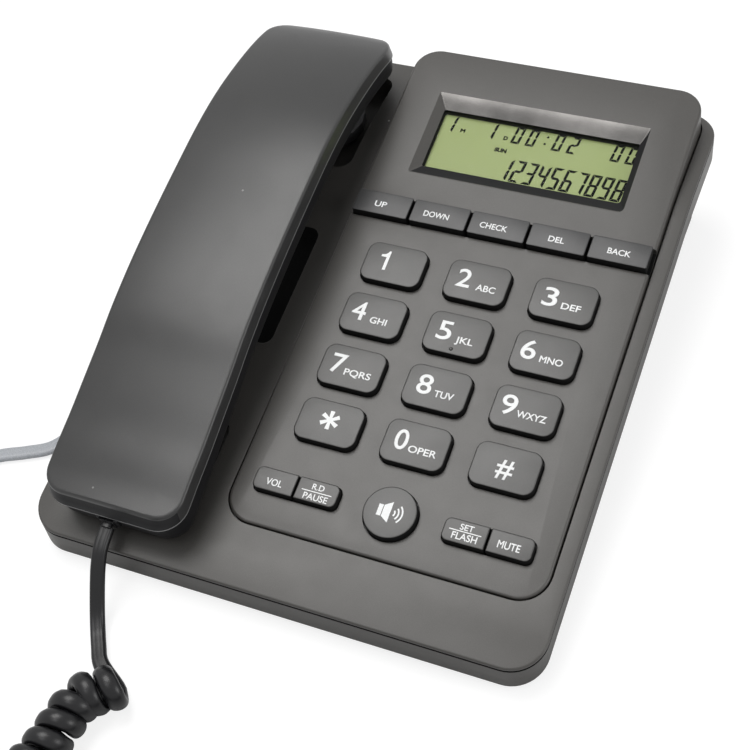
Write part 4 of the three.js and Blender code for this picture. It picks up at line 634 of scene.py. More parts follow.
def modular_plug(name, width, place, direction, jacket, shell_mat=clear_mat, neck=3.4):
    """A modular plug and its inner pieces: cable end at its origin, nose along +Y, latch below."""
    y = Vector(direction).normalized()
    x = y.cross(Vector(UP)).normalized()
    seat = Matrix.Translation(Vector(place)) @ Matrix((x, y, x.cross(y))).transposed().to_4x4()
    low, high, length = PLUG_LOW, PLUG_HIGH, PLUG_LENGTH
    body = stack(name, width, length, 0.5, [(0.25, low), (0, low + 0.25), (0, high - 0.25), (0.25, high)],
                 (0, length / 2), 3, matrix=seat)
    boot = prism(name + "_neck", outline(width - 2.2, neck, 0.3, centre=(0, 0.3 - neck / 2), steps=3),
                 -1.2, 3.2, seat)
    entry = stack(name + "_entry", width - 1.0, 4.2, 0.5,
                  [(0.5, high - 0.9), (0, high - 0.5), (0, high + 0.1)], (0, 3.3), 3, matrix=seat)
    arm = [[(-1.5, front, bottom), (1.5, front, bottom), (1.5, back, top), (-1.5, back, top)]
           for front, bottom, back, top in ((length - 0.6, low, length - 2.6, low),
                                            (length - 0.6, -3.0, length - 2.6, -2.1),
                                            (length - 8.8, -3.0, length - 8.8, -2.1))]
    shell = joined(name, [body, boot, entry, new_object(name + "_arm", *loft(arm), seat)])
    shell.data.materials.append(shell_mat)
    pin = ((-0.16, -3.6), (0.16, -3.6), (0.16, -0.1), (-0.16, -0.1))
    pins = joined(name + "_contacts", [prism(name + "_pin", [(x + u, length + v) for u, v in pin],
                                             -0.4, high + 0.05, seat) for x in WIRE_PLACES])
    pins.data.materials.append(brass_mat)
    cores = []
    for i, (x, wire_mat) in enumerate(zip(WIRE_PLACES, wire_mats)):
        core = tube(name + "_core_%d" % (i + 1), np.array([(x * 0.9, 0.8 + k * 0.8, 1.2) for k in range(9)]),
                    circle(0.36, count=8), [SIDEWAYS] * 9, seat)
        core.data.materials.append(wire_mat)
        cores.append(core)
    sleeve = tube(name + "_jacket_end", np.array([(0, -1.9 + k * 0.65, 1.0) for k in range(6)]),
                  flat_section(min(width - 3.4, 4.6), 2.4, 0, 20), [SIDEWAYS] * 6, seat)
    sleeve.data.materials.append(jacket)
    return shell, [pins, sleeve, *cores]


tail_way = tail_out[-1] - tail_out[-2]
tail_way[2] = 0
tail_way /= np.linalg.norm(tail_way)
handset_plug, handset_plug_inner = modular_plug("handset_plug_body", HANDSET_PLUG_W, PLUG_PLACE, PLUG_DIR,
                                                cord_mat, smoky_mat, 0.8)
free_plug, free_plug_inner = modular_plug("handset_free_plug_body", HANDSET_PLUG_W,
                                          tail_out[-1] + tail_way * 3.5, tail_way, cord_mat)
line_plug, line_plug_inner = modular_plug("line_plug_body", LINE_PLUG_W, LINE_PLUG, (0, -1, 0), grey_cord_mat)
line_free, line_free_inner = modular_plug("line_free_plug_body", LINE_PLUG_W, coil[-1] + coil_out * 8.4,
                                          coil_out, grey_cord_mat)

# A strap of soft wire holds the coil together

TIE_ANGLE, TIE_STEPS = math.radians(200), 48
TIE_SECTION = ((-1.6, -0.2), (-1.4, 0.2), (-0.4, 0.2), (0, 0.45), (0.4, 0.2), (1.4, 0.2), (1.6, -0.2),
               (0, -0.3))
squared = lambda v: math.copysign(abs(v) ** 0.5, v)
tie_out = np.array((math.cos(TIE_ANGLE), math.sin(TIE_ANGLE), 0))
tie_centre = COIL_PLACE + tie_out * COIL_R + (0, 0, 5.0)
tie_loop = [tie_centre + tie_out * 12.4 * squared(math.cos(a)) + (0, 0, 5.35 * squared(math.sin(a)) + 0.55)
            for a in np.linspace(0, 2 * math.pi, TIE_STEPS + 1)[:-1]]
tie_side = np.cross(tie_out, UP)
tie_rings = []
for i, p in enumerate(tie_loop):
    along = tie_loop[(i + 1) % TIE_STEPS] - tie_loop[i - 1]
    normal = np.cross(tie_side, along / np.linalg.norm(along))
    tie_rings.append([tuple(p + tie_side * u + normal * v) for u, v in TIE_SECTION])
coil_tie = new_object("line_cord_tie", *loft(tie_rings + tie_rings[:1], False, False), angle=50)
coil_tie.data.materials.append(mat_rubber)


for piece in (coil_tie, *free_plug_inner, *line_plug_inner, *line_free_inner):
    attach(piece, "base")
for piece in handset_plug_inner:
    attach(piece, "handset")
dress(handset_plug, "handset", "handset_cord_plug", "clear_plastic")
dress(free_plug, "base", "handset_cord_free_plug", "clear_plastic")
dress(line_plug, "base", "line_plug", "clear_plastic")
dress(line_free, "base", "line_free_plug", "clear_plastic")
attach(line_cord, "base")
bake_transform(handset_cord)
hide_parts("handset_cord_lead", "handset_cord_curls", "handset_cord_tail")
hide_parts("line_cord", "line_cord_coil")

# Upper housing

def on_deck(name, width, depth, radii, profile, centre=(0, 0), steps=8):
    """A block whose profile heights are measured from the deck's surface, bent as the deck is."""
    obj = stack(name, width, depth, radii, profile, centre, steps)
    mesh = obj.data
    bm = bmesh.new()
    bm.from_mesh(mesh)
    for k in range(13):
        y = (BEND_Y + BEND_HALF * (k - 6) / 6) * MM
        bmesh.ops.bisect_plane(bm, geom=bm.verts[:] + bm.edges[:] + bm.faces[:], plane_co=(0, y, 0),
                               plane_no=(0, 1, 0), dist=1e-7)
    for v in bm.verts:
        v.co.z += deck_z(v.co.y / MM) * MM
    bm.to_mesh(mesh)
    bm.free()
    return obj


def panel_prism(name, grow):
    return stack(name, PANEL_W + 2 * grow, PANEL_D + 2 * grow, [r + grow for r in PANEL_RADII],
                 [(0, -60), (0, 60)], PANEL_MIDDLE, 10, matrix=PANEL)


def clip_to_deck(obj, low, high, width=300, depth=400, radius=1):
    """Keep what lies between two heights over the deck."""
    boolean(obj, [on_deck("clip", width, depth, radius, [(0, low), (0, high)])], "INTERSECT")


GROOVE_LOW, GROOVE_HIGH, GROOVE_DEPTH = -1.75, -0.92, 0.95
CRADLE_X = -50.75
WELL_HALF = 18.75
EAR_FRONT, EAR_BACK, EAR_FLOOR = 46.815, 92.436, 31.5
MOUTH_FRONT, MOUTH_BACK = -90.12, -51.30
GRIP_FRONT, GRIP_BACK = -23.594, 21.561
TUB = 2.0

upper = on_deck("upper_housing_shell", BASE_W, BASE_D, BASE_RADIUS,
                [(0.5, -SKIRT), (0.15, 0.15 - SKIRT), (0, 0.5 - SKIRT), (0, GROOVE_LOW),
                 (GROOVE_DEPTH, GROOVE_LOW + 0.05), (GROOVE_DEPTH, GROOVE_HIGH - 0.06),
                 (0, GROOVE_HIGH)] + fillet(0.55, 0, 0, 4), steps=12)
hollow = on_deck("hollow", BASE_W - 4.4, BASE_D - 4.4, 8.8, [(0, -60), (0, -2.4)])
boolean(upper, [hollow])


def tub(y0, y1, half, radius, low, flat=None):
    block = on_deck("tub", 2 * half, y1 - y0, radius, [(0, low), (0, -0.3)], (CRADLE_X, (y0 + y1) / 2))
    if flat is not None:
        boolean(block, [prism("clip", outline(300, 400, 1), flat, 90)], "INTERSECT")
    return block


ear_tub = tub(EAR_FRONT - TUB, EAR_BACK + TUB, WELL_HALF + TUB, 6, -20, EAR_FLOOR - TUB)
mouth_tub = tub(MOUTH_FRONT - TUB, MOUTH_BACK + TUB, WELL_HALF + TUB, 7, -4.2)
grip_tub = tub(GRIP_FRONT - TUB, GRIP_BACK + TUB, 21, 5, -6)
ledge = panel_prism("ledge", 2.9)
clip_to_deck(ledge, -6.3, -2.1, BASE_W - 4, BASE_D - 4, 9)
boolean(upper, [ear_tub, mouth_tub, grip_tub, ledge], "UNION")

pocket = panel_prism("pocket", 0.5)
clip_to_deck(pocket, -3.9, 80)
opening = panel_prism("opening", -3)
ear_pocket = stack("ear_pocket", 2 * WELL_HALF, EAR_BACK - EAR_FRONT, 5, [(0, EAR_FLOOR), (0, 90)],
                   (CRADLE_X, (EAR_FRONT + EAR_BACK) / 2))
mouth_pocket = on_deck("mouth_pocket", 2 * WELL_HALF, MOUTH_BACK - MOUTH_FRONT, 5,
                       [(0.8, -2.2), (0.2, -1.9), (0, -1.4), (0, 40)],
                       (CRADLE_X, (MOUTH_FRONT + MOUTH_BACK) / 2))
grip_pocket = on_deck("grip_pocket", 38, GRIP_BACK - GRIP_FRONT, 3.5,
                      [(1.0, -4), (0.3, -3.6), (0, -3), (0, 40)], (CRADLE_X, (GRIP_FRONT + GRIP_BACK) / 2))
plunger_hole = prism("plunger_hole", outline(8.7, 4.7, 1, centre=(CRADLE_X, 61.04)), 0, 90)
boolean(upper, [pocket, opening, ear_pocket, mouth_pocket, grip_pocket, plunger_hole])
smooth(upper)
dress(upper, "base", "upper_housing", "shell_plastic", housing_mat, recess_shade_mat)
# Painted shade: faces in the deck's groove around the panel and inside the grip pocket get the near-black
# recess colour
for poly in upper.data.polygons:
    c = poly.center / MM
    drop = c.z - deck_z(c.y)
    inside = max(abs(c.x) - BASE_W / 2, abs(c.y) - BASE_D / 2) < -0.02
    in_grip = abs(c.x - CRADLE_X) < 19.1 and GRIP_FRONT - 0.1 < c.y < GRIP_BACK + 0.1
    if (GROOVE_LOW - 0.01 < drop < GROOVE_HIGH + 0.02 and inside) or (in_grip and -4.5 < drop < -0.3):
        poly.material_index = 1

# Keypad panel

PITCH_X, PITCH_Y, KEY_SHIFT = 28.0, 19.4, 0.3
KEY_W, KEY_D, KEY_R, PROUD = 20.2, 14.2, 3.4, 2.4
ROW_Y, ROW_D, ROW_PITCH, ROW_GAP = 21.15, 8.5, 19.84, 0.85
BOTTOM_Y, SPEAKER_R = -81.0, 8.15
PILL_X, PILL_W, PILL_D, PILL_R = 30.0, 27.0, 7.3, 2.0
GLASS_W, GLASS_D, GLASS_Y = 67.6, 23.7, 53.4
SLOPE_LEFT, SLOPE_RIGHT, SLOPE_TOP, SLOPE_BOTTOM, SLOPE_DEPTH = 3.2, 2.3, 5.65, 4.75, 2.1
SLOPE_CORNERS = ((0.8, 0.5), (2.0, 1.1), (0.5, 0.5), (0.5, 0.7))
KEY_GAP = 0.35

panel = stack("keypad_panel_plate", PANEL_W, PANEL_D, PANEL_RADII,
              [(0, -40), (0, -0.8)] + fillet(0.8, 0, 0, 5)[1:], PANEL_MIDDLE, 12, matrix=PANEL)
boolean(panel, [stack("panel_hollow", PANEL_W - 4, PANEL_D - 4, 7, [(0, -41), (0, -2)], PANEL_MIDDLE,
                      matrix=PANEL)])
channel_base = prism("channel_base", outline(99, 13.2, 0.5, centre=(0, ROW_Y)), -4.2, -1.0, PANEL)
frame_base = prism("frame_base", outline(77, 37, 3, centre=(0, 54.1)), -4.6, -1.0, PANEL)
boolean(panel, [channel_base, frame_base], "UNION")
clip_to_deck(panel, -3.6, 90)


def funnel_ring(share, z):
    """The display's sloped surround: share 0 is its outer edge and 1 the glass's edge."""
    x0 = -GLASS_W / 2 - SLOPE_LEFT * (1 - share)
    x1 = GLASS_W / 2 + SLOPE_RIGHT * (1 - share ** 1.2)
    y0 = GLASS_Y - GLASS_D / 2 - SLOPE_BOTTOM * (1 - share ** 1.1)
    y1 = GLASS_Y + GLASS_D / 2 + SLOPE_TOP * (1 - share ** 0.9)
    radii = [a * (1 - share) + b * share for a, b in SLOPE_CORNERS]
    return flat_ring(outline(x1 - x0, y1 - y0, radii, 0, 8, 1, ((x0 + x1) / 2, (y0 + y1) / 2)), z)


funnel_rings = [funnel_ring(0.0, 4.0)]
funnel_rings += [funnel_ring(t, -SLOPE_DEPTH * t) for t in (0, 0.1, 0.22, 0.35, 0.5, 0.65, 0.8, 0.92)]
funnel_rings += [funnel_ring(0.975, 0.05 - SLOPE_DEPTH), funnel_ring(1.0, -SLOPE_DEPTH - 0.15),
                 funnel_ring(1.0, -9.0)]
cutters = [new_object("funnel", *loft(funnel_rings), matrix=PANEL)]
cutters.append(prism("channel", outline(120, ROW_D + 0.9, 0.01, centre=(0, ROW_Y)), -2.6, 20, PANEL))


def panel_hole(points):
    cutters.append(prism("hole", points, -12, 12, PANEL))


KEY_PLACES = {}
for row, names in enumerate((("key_1", "key_2", "key_3"), ("key_4", "key_5", "key_6"),
                             ("key_7", "key_8", "key_9"), ("key_star", "key_0", "key_hash"))):
    for column, name in enumerate(names):
        KEY_PLACES[name] = ((column - 1) * PITCH_X, -row * PITCH_Y - KEY_SHIFT)
for name, place in KEY_PLACES.items():
    panel_hole(outline(KEY_W + 2 * KEY_GAP, KEY_D + 2 * KEY_GAP, KEY_R + KEY_GAP, centre=place))
for index in range(5):
    panel_hole(outline(ROW_PITCH - ROW_GAP - 4.5, ROW_D - 4.5, 0.4,
                       centre=((index - 2) * ROW_PITCH, ROW_Y)))
for x in (-PILL_X, PILL_X):
    panel_hole(outline(PILL_W + 2 * KEY_GAP, PILL_D + 2 * KEY_GAP, PILL_R + KEY_GAP, centre=(x, BOTTOM_Y)))
panel_hole(circle(SPEAKER_R + KEY_GAP, (0, BOTTOM_Y), 72))
boolean(panel, cutters)
smooth(panel)
# Display surround slopes coloured by which way they face: near black on the right and bottom slopes as
# painted shade, and a lighter metallic colour with blotchy tone on the front-facing slope as a painted
# reflection
bezel_shaded_slope_mat = plastic("bezel_painted_shade", (0.016, 0.016, 0.017), 0.40, grain=0.06, bevel=0.0001, specular=0.09)
bezel_top_reflection_mat = plastic("bezel_top_painted_reflection", (0.066, 0.064, 0.062), 0.20, grain=0.03, mottle=0.5,
                        bevel=0.0001, metal=0.85)
panel_mesh = bmesh.new()
panel_mesh.from_mesh(panel.data)
for window_edge in panel_mesh.edges:
    ends = [to_panel @ (v.co / MM) for v in window_edge.verts]
    if all(abs(e.z) < 0.02 and abs(e.x) < 38 and 36 < e.y < 72 for e in ends):
        window_edge.smooth = False
panel_mesh.to_mesh(panel.data)
panel_mesh.free()
dress(panel, "base", "keypad_panel", "shell_plastic", panel_mat, recess_shade_mat, bezel_shaded_slope_mat, bezel_top_reflection_mat)
# Painted shade: the panel's walls below its top, in the key holes, the channel and the display opening, get
# the near-black recess colour
for poly in panel.data.polygons:
    c = to_panel @ (poly.center / MM)
    n = turn @ poly.normal
    in_window = abs(c.x) < 37 and 37.2 < c.y < 71 and c.z < -0.02
    # Painted light by face direction: the front-facing slope gets the painted reflection, the left slope the
    # panel's colour, the right and bottom slopes the painted shade
    if in_window and c.z > -SLOPE_DEPTH and n.z > 0.2:
        poly.material_index = 3 if n.y < -0.15 else 0 if n.x > 0.15 else 2
    elif (c.z < -0.9 or in_window) and abs(c.x) < 49.9 and -94 < c.y < 88:
        poly.material_index = 1

# Keys

# Near-black painted shade for the keys' side walls, which stand in shade below their lit tops
key_side_shade_mat = plastic("key_side_painted_shade", (0.006, 0.006, 0.006), 0.6, grain=0.1, specular=0.15)
row_key_mat = plastic("row_key_plastic", (0.037, 0.037, 0.038), 0.36, grain=0.25, dust=0.5, edge=0.9,
                      bevel=0.0002, specular=0.42)


def finish_key(key, body, name, top=key_mat):
    dress(key, body, name, "key_plastic", top, key_side_shade_mat)
    for poly in key.data.polygons:
        # Faces steeper than the key top get the side walls' painted shade
        if (turn @ poly.normal).z < 0.72:
            poly.material_index = 1


KEY_PROFILE = [(-1, -3.5), (-1, -2.4), (0, -2.4), (0, PROUD - 0.45)] + fillet(0.45, 0, PROUD, 5)


for name, place in KEY_PLACES.items():
    key = stack(name + "_cap", KEY_W, KEY_D, KEY_R, KEY_PROFILE, place, 10, matrix=PANEL)
    if name == "key_5":
        pip = stack("pip", 1.15, 1.15, 0.57, [(0, PROUD - 0.2), (0, PROUD + 0.12), (0.15, PROUD + 0.28),
                                             (0.38, PROUD + 0.35)],
                    (place[0] - 0.25, place[1] - 5.3), 6, matrix=PANEL)
        boolean(key, [pip], "UNION")
        smooth(key)
    finish_key(key, name, name)

speaker_key = new_object("speaker_key_cap", *loft([flat_ring(circle(SPEAKER_R - inset, (0, BOTTOM_Y), 72), z)
                                                   for inset, z in KEY_PROFILE]), matrix=PANEL)
finish_key(speaker_key, "speaker_key", "speaker_key")

for name, x, side in (("volume_key", -PILL_X, -1), ("redial_pause_key", -PILL_X, 1),
                      ("set_flash_key", PILL_X, -1), ("mute_key", PILL_X, 1)):
    half = (PILL_W - 0.5) / 2
    radii = (PILL_R, 0.25, 0.25, PILL_R) if side < 0 else (0.25, PILL_R, PILL_R, 0.25)
    centre = (x + side * (0.25 + half / 2), BOTTOM_Y)
    rings = []
    for inset, z in KEY_PROFILE:
        grow = max(-inset, 0)
        rings.append(flat_ring(outline(half + grow, PILL_D + 2 * grow, [r + grow for r in radii],
                                       max(inset, 0), 8, 1, (centre[0] + side * grow / 2, centre[1])), z))
    cap = new_object(name + "_cap", *loft(rings), matrix=PANEL)
    finish_key(cap, name, name)

for index, name in enumerate(("up_key", "down_key", "check_key", "delete_key", "back_key")):
    x = (index - 2) * ROW_PITCH
    cap = stack(name + "_cap", ROW_PITCH - ROW_GAP, ROW_D, 0.6,
                [(2.6, -5.6), (2.6, -0.95), (0, -0.95), (0, PROUD - 0.3)] + fillet(0.3, 0, PROUD, 4),
                (x, ROW_Y), 5, matrix=PANEL)
    finish_key(cap, name, name, top=row_key_mat)

# Words and marks on the keys

PRINT_LIFT, CAP_HEIGHT = 0.012, 0.729


def place_print(mesh, body, material):
    """Turn a mesh in mm on the panel into a printed mark that moves with a body."""
    mesh.transform(PANEL)
    mesh.transform(Matrix.Scale(MM, 4))
    mesh.materials.clear()
    mesh.materials.append(material)
    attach(linked(mesh.name, mesh), body)


def print_mesh(name, polygons, body, height=PROUD + PRINT_LIFT, material=legend_mat):
    """Flat printed shapes (lists of points in mm on the panel) as one thin mesh."""
    verts, faces = [], []
    for points in polygons:
        start = len(verts)
        n = len(points)
        verts += [(x, y, height) for x, y in points] + [(x, y, height - 0.02) for x, y in points]
        faces.append(tuple(range(start, start + n)))
        faces.append(tuple(range(start + n, start + 2 * n))[::-1])
        faces += [(start + i, start + n + i, start + n + (i + 1) % n, start + (i + 1) % n) for i in range(n)]
    mesh = bpy.data.meshes.new(name)
    mesh.from_pydata(verts, [], faces)
    mesh.update()
    place_print(mesh, body, material)


def word(name, text, body, left, right, base, height, bold, level=PROUD + PRINT_LIFT, material=legend_mat):
    """Generic lettering as a mesh that fills left to right, on its base line; height is the capitals'."""
    curve = bpy.data.curves.new(name, "FONT")
    curve.body = text
    curve.size = 1.0
    curve.bevel_depth = bold
    curve.bevel_resolution = 0
    curve.resolution_u = 6
    obj = linked(name, curve)
    bpy.context.view_layer.update()
    mesh = evaluated_mesh(obj)
    mesh.name = name
    bpy.data.objects.remove(obj)
    bpy.data.curves.remove(curve)
    co = np.array([v.co[:] for v in mesh.vertices])
    low, high = co.min(axis=0), co.max(axis=0)
    for v in mesh.vertices:
        v.co.x = left + (v.co.x - low[0]) * (right - left) / (high[0] - low[0])
        v.co.y = base + (v.co.y + bold) * height / (CAP_HEIGHT + 2 * bold)
        v.co.z = level - 0.01 + 0.01 * v.co.z / bold
    place_print(mesh, body, material)


# Each key's digit and letters: their left and right ends, measured from the key's middle
LEGENDS = {
    "key_2": ("2", -6.6, -2.0, "ABC", 0.2, 6.5), "key_3": ("3", -6.6, -1.8, "DEF", -0.2, 6.0),
    "key_4": ("4", -7.1, -2.4, "GHI", -0.4, 5.2), "key_5": ("5", -6.5, -1.75, "JKL", 0.0, 5.75),
    "key_6": ("6", -7.5, -2.7, "MNO", -1.1, 6.15), "key_7": ("7", -6.9, -2.0, "PQRS", -1.8, 7.0),
    "key_8": ("8", -6.3, -1.5, "TUV", -0.25, 6.0), "key_9": ("9", -7.6, -2.7, "WXYZ", -2.25, 7.0),
    "key_0": ("0", -6.6, -2.4, "OPER", -1.7, 7.3),
}
DIGIT_BASE, LETTER_BASE = -2.75, -2.85
for name, (digit, left, right, letters, first, last) in LEGENDS.items():
    kx, ky = KEY_PLACES[name]
    word(name + "_digit", digit, name, kx + left, kx + right, ky + DIGIT_BASE, 7.05, 0.014)
    word(name + "_letters", letters, name, kx + first, kx + last, ky + LETTER_BASE, 2.45, 0.024)
hx, hy = KEY_PLACES["key_hash"]
word("key_hash_mark", "#", "key_hash", hx - 2.6, hx + 2.6, hy - 3.2, 6.6, 0.018)
ox, oy = KEY_PLACES["key_1"]
ONE = [(-2.2, 0.0), (-2.2, 7.1), (-2.85, 7.1), (-3.1, 6.45), (-3.75, 5.8), (-5.0, 5.5), (-5.0, 4.75),
       (-3.2, 4.75), (-3.2, 0.0)]
print_mesh("key_1_digit", [[(ox + x, oy + DIGIT_BASE + y) for x, y in ONE]], "key_1")


def level_bar(left, right, y, width=0.3):
    """A level printed stroke with square ends."""
    low, high = y - width / 2, y + width / 2
    return [(left, high), (left, low), (right, low), (right, high)]


sx, sy = KEY_PLACES["key_star"]
STAR_ARM = ((0.85, -0.49), (3.1, -0.7), (3.1, 0.7))
star = []
for k in range(6):
    a = math.pi / 2 + k * math.pi / 3
    c, t = math.cos(a), math.sin(a)
    star += [(sx + u * c - v * t, sy + 0.75 + u * t + v * c) for u, v in STAR_ARM]
print_mesh("key_star_mark", [star], "key_star")

FUNCTION_WORDS = (
    ("up_key", "UP", -42.3, -38.1, 19.65, 2.3), ("down_key", "DOWN", -25.2, -16.6, 19.65, 2.3),
    ("check_key", "CHECK", -6.0, 3.2, 19.65, 2.3), ("delete_key", "DEL", 16.8, 22.0, 19.65, 2.3),
    ("back_key", "BACK", 35.9, 43.3, 19.65, 2.3),
    ("volume_key", "VOL", -39.5, -34.25, -82.75, 2.35), ("mute_key", "MUTE", 33.1, 39.8, -82.6, 2.5),
    ("redial_pause_key", "R.D", -25.1, -21.25, -80.55, 2.05),
    ("redial_pause_key", "PAUSE", -26.9, -19.1, -83.9, 2.2),
    ("set_flash_key", "SET", 21.25, 25.4, -80.4, 2.0), ("set_flash_key", "FLASH", 19.6, 27.2, -83.5, 2.3))
for name, text, left, right, base, height in FUNCTION_WORDS:
    word("%s_word_%s" % (name, text.replace(".", "")), text, name, left, right, base, height, 0.022)
print_mesh("redial_pause_line", [level_bar(-28.0, -18.4, -81.2)], "redial_pause_key")
print_mesh("set_flash_line", [level_bar(18.3, 28.0, -80.85)], "set_flash_key")

icon_y = -81.0
icon = [[(-3.75, icon_y - 1.8), (-2.4, icon_y - 1.8), (-2.4, icon_y + 1.8), (-3.75, icon_y + 1.8)],
        [(-2.15, icon_y - 1.8), (0.2, icon_y - 3.3), (0.2, icon_y + 3.3), (-2.15, icon_y + 1.8)]]
for radius, half_angle in ((1.3, 40), (2.45, 43), (3.6, 45)):
    angles = [math.radians(-half_angle + 2 * half_angle * k / 14) for k in range(15)]
    arc = lambda r, along: [(0.25 + r * math.cos(a), icon_y + r * math.sin(a)) for a in along]
    icon.append(arc(radius + 0.24, angles) + arc(radius - 0.24, angles[::-1]))
print_mesh("speaker_key_mark", icon, "speaker_key")

# Display

GLASS_TOP = -4.15
lcd_mat = simple("display_green", (0.318, 0.390, 0.135), 0.5, scale=260, vary=0.02, bump=0.02)
segment_mat = simple("display_segment", (0.002, 0.002, 0.002), 0.7, scale=400, bump=0.02, specular=0.0)
display = stack("display_module_glass", GLASS_W - 0.2, GLASS_D - 0.2, 0.8,
                [(0, -6.8), (0, GLASS_TOP - 0.05), (0.05, GLASS_TOP)], (0, GLASS_Y), matrix=PANEL)
dress(display, "base", "display_module", "display_glass", lcd_mat)
lens = stack("display_lens_sheet", GLASS_W - 0.1, GLASS_D - 0.1, 0.9,
             [(0.1, -3.8), (0, -3.75), (0, -3.05), (0.1, -3.0)], (0, GLASS_Y), matrix=PANEL)
lens_mat = simple("display_lens", (0.30, 0.32, 0.28), 0.07, vary=0.01, bump=0.01, alpha=0.03)
dress(lens, "base", "display_lens", "display_window", lens_mat)

SEGMENTS = {"0": "abcdef", "1": "bc", "2": "abdeg", "3": "abcdg", "4": "bcfg", "5": "acdfg", "6": "acdefg",
            "7": "abc", "8": "abcdefg", "9": "abcdfg"}
SLANT = math.tan(math.radians(7))


def segment_shapes(x, y, width, height, thick, lit):
    """The bars of one seven-part figure, centred on x, y, leaning to the right."""
    w, h, t, g = width / 2, height / 2, thick / 2, 0.07
    level = [(-w + g, h), (w - g, h), (w - g - 2 * t, h - 2 * t), (-w + g + 2 * t, h - 2 * t)]
    upright = [(-w, h - g), (-w + 2 * t, h - g - 2 * t), (-w + 2 * t, t + g), (-w + t, g), (-w, g + 0.5 * t)]
    middle = [(-w + g + 0.6 * t, 0), (-w + 2 * t, t), (w - 2 * t, t), (w - g - 0.6 * t, 0), (w - 2 * t, -t),
              (-w + 2 * t, -t)]
    frames = {"a": (level, 1, 1), "d": (level, 1, -1), "g": (middle, 1, 1), "f": (upright, 1, 1),
              "b": (upright, -1, 1), "e": (upright, 1, -1), "c": (upright, -1, -1)}
    shapes = []
    for key in lit:
        points, flip_x, flip_y = frames[key]
        points = [(px * flip_x, py * flip_y) for px, py in points]
        shapes.append([(x + px + py * SLANT, y + py) for px, py in points])
    return shapes


figures = []
for k, digit in enumerate("1234567898"):
    figures += segment_shapes(31.7 - (9 - k) * 4.27, 47.5, 3.35, 8.9, 0.95, SEGMENTS[digit])
for x, digit in ((-30.5, "1"), (-16.1, "1"), (-6.7, "0"), (-1.7, "0"), (7.35, "0"), (12.5, "2"), (27.3, "0"),
                 (32.3, "0")):
    figures += segment_shapes(x, 61.75, 3.05, 7.0, 0.88, SEGMENTS[digit])
for y in (-1.45, 1.45):
    figures.append(circle(0.44, (3.05 + y * SLANT, 61.75 + y), 8))
print_mesh("display_figures", figures, "base", GLASS_TOP + 0.02, segment_mat)

for name, text, left, right, base, height in (
        ("display_month", "M", -26.6, -24.9, 59.0, 1.55), ("display_day", "D", -11.3, -9.8, 59.0, 1.7),
        ("display_weekday", "SUN", -12.8, -8.6, 53.8, 1.8)):
    word(name, text, "base", left, right, base, height, 0.06, GLASS_TOP + 0.02, segment_mat)

# Handset

HX, HW = -77.25, 46.6
H_FRONT, H_BACK = -109.3, 84.5
TOP_LINE = [(-109.5, 16.9), (-107.5, 17.0), (-100, 17.5), (-93, 18.5), (-83, 19.6), (-74, 21.0), (-60, 23.2),
            (-49, 25.3), (-35, 27.0), (-23, 27.8), (-10, 28.2), (3.5, 28.3), (19.5, 28.1), (33, 26.9),
            (45, 24.6), (60, 20.4), (70, 16.5), (76, 13.2), (80, 10.0), (82.5, 6.8), (84.5, 0.6)]
line = catmull([(y, h, 0) for y, h in TOP_LINE], 400)


def top_at(y):
    return float(np.interp(y, line[:, 0], line[:, 1]))


RING_STEPS, RING_STRAIGHT = 10, 56


def ringed(name, levels):
    """A body of rings, closed by quads from left to right: side, near and far inset, height function."""
    rings = []
    for side, near, far, height in levels:
        y0, y1 = H_FRONT + near, H_BACK - far
        radius = [max(r - (side + n) / 2, 0.05) for r, n in ((9, near), (9, near), (14, far), (12, far))]
        ring = outline(HW - 2 * side, y1 - y0, radius, 0, RING_STEPS, RING_STRAIGHT, (HX, (y0 + y1) / 2))
        rings.append([(x, y, height(x, y)) for x, y in ring])
    n = len(rings[0])
    verts, faces = loft(rings, False, False)
    count = 2 * RING_STEPS + RING_STRAIGHT + 1
    right = [(RING_STEPS + RING_STRAIGHT + k) % n for k in range(count)]
    left = [(RING_STEPS - k) % n for k in range(count)]
    quads = list(zip(left, right, right[1:], left[1:]))
    faces += [quad[::-1] for quad in quads]
    faces += [tuple((len(rings) - 1) * n + i for i in quad) for quad in quads]
    return new_object(name, verts, [tuple(dict.fromkeys(f)) for f in faces], PANEL, 35)


def crown(x, lift):
    share = min(abs(x - HX) / (HW / 2 - 0.55), 1)
    return lift * (1 - share ** 2.2)


def shell_top(drop, lift=0.0):
    return lambda x, y: top_at(y) - drop + crown(x, lift)


NEAR_INSET = 1.8
upper_levels = [(2.2, 2.2, 2.2, shell_top(5.0)), (0.35, 0.3, 0.3, shell_top(5.2)),
                (0.05, 0.0, 0.0, shell_top(5.1)), (0.0, 0.0, 0.0, shell_top(4.5)),
                (0.25, 0.95, 0.15, shell_top(2.7)), (0.46, 1.75, 0.3, shell_top(0.85))]
for k in range(1, 6):
    a = k * math.pi / 10
    inward = 0.75 * (1 - math.cos(a))
    upper_levels.append((0.5 + inward, NEAR_INSET + inward, 0.35 + inward,
                         shell_top(0.75 * (1 - math.sin(a)), k / 5)))
for inset in (1.9, 2.8, 4.0, 5.6, 7.6, 10.0, 13.0, 16.5, 20.0, 22.6):
    upper_levels.append((inset, inset + 1.0, inset - 0.4, shell_top(0.0, 1.0)))
handset_top = ringed("handset_upper_cover", upper_levels)
for poly in handset_top.data.polygons:
    c = to_panel @ (poly.center / MM)
    drop = top_at(c.y) - c.z
    facing_front = (turn @ poly.normal).y < -0.45
    # The band at the upper shell's lower edge gets the painted highlight
    if 4.45 < drop < 5.3:
        poly.material_index = 2
    # Front-facing side faces of the upper shell get the darker painted shade
    elif 0.7 < drop < 4.45 and facing_front:
        poly.material_index = 1


def side_height(y):
    return 7.4 + 1.7 * min(max((-54 - y) / 50, 0), 1)


def belly(extra):
    return lambda x, y: top_at(y) - 5.2 - side_height(y) - extra


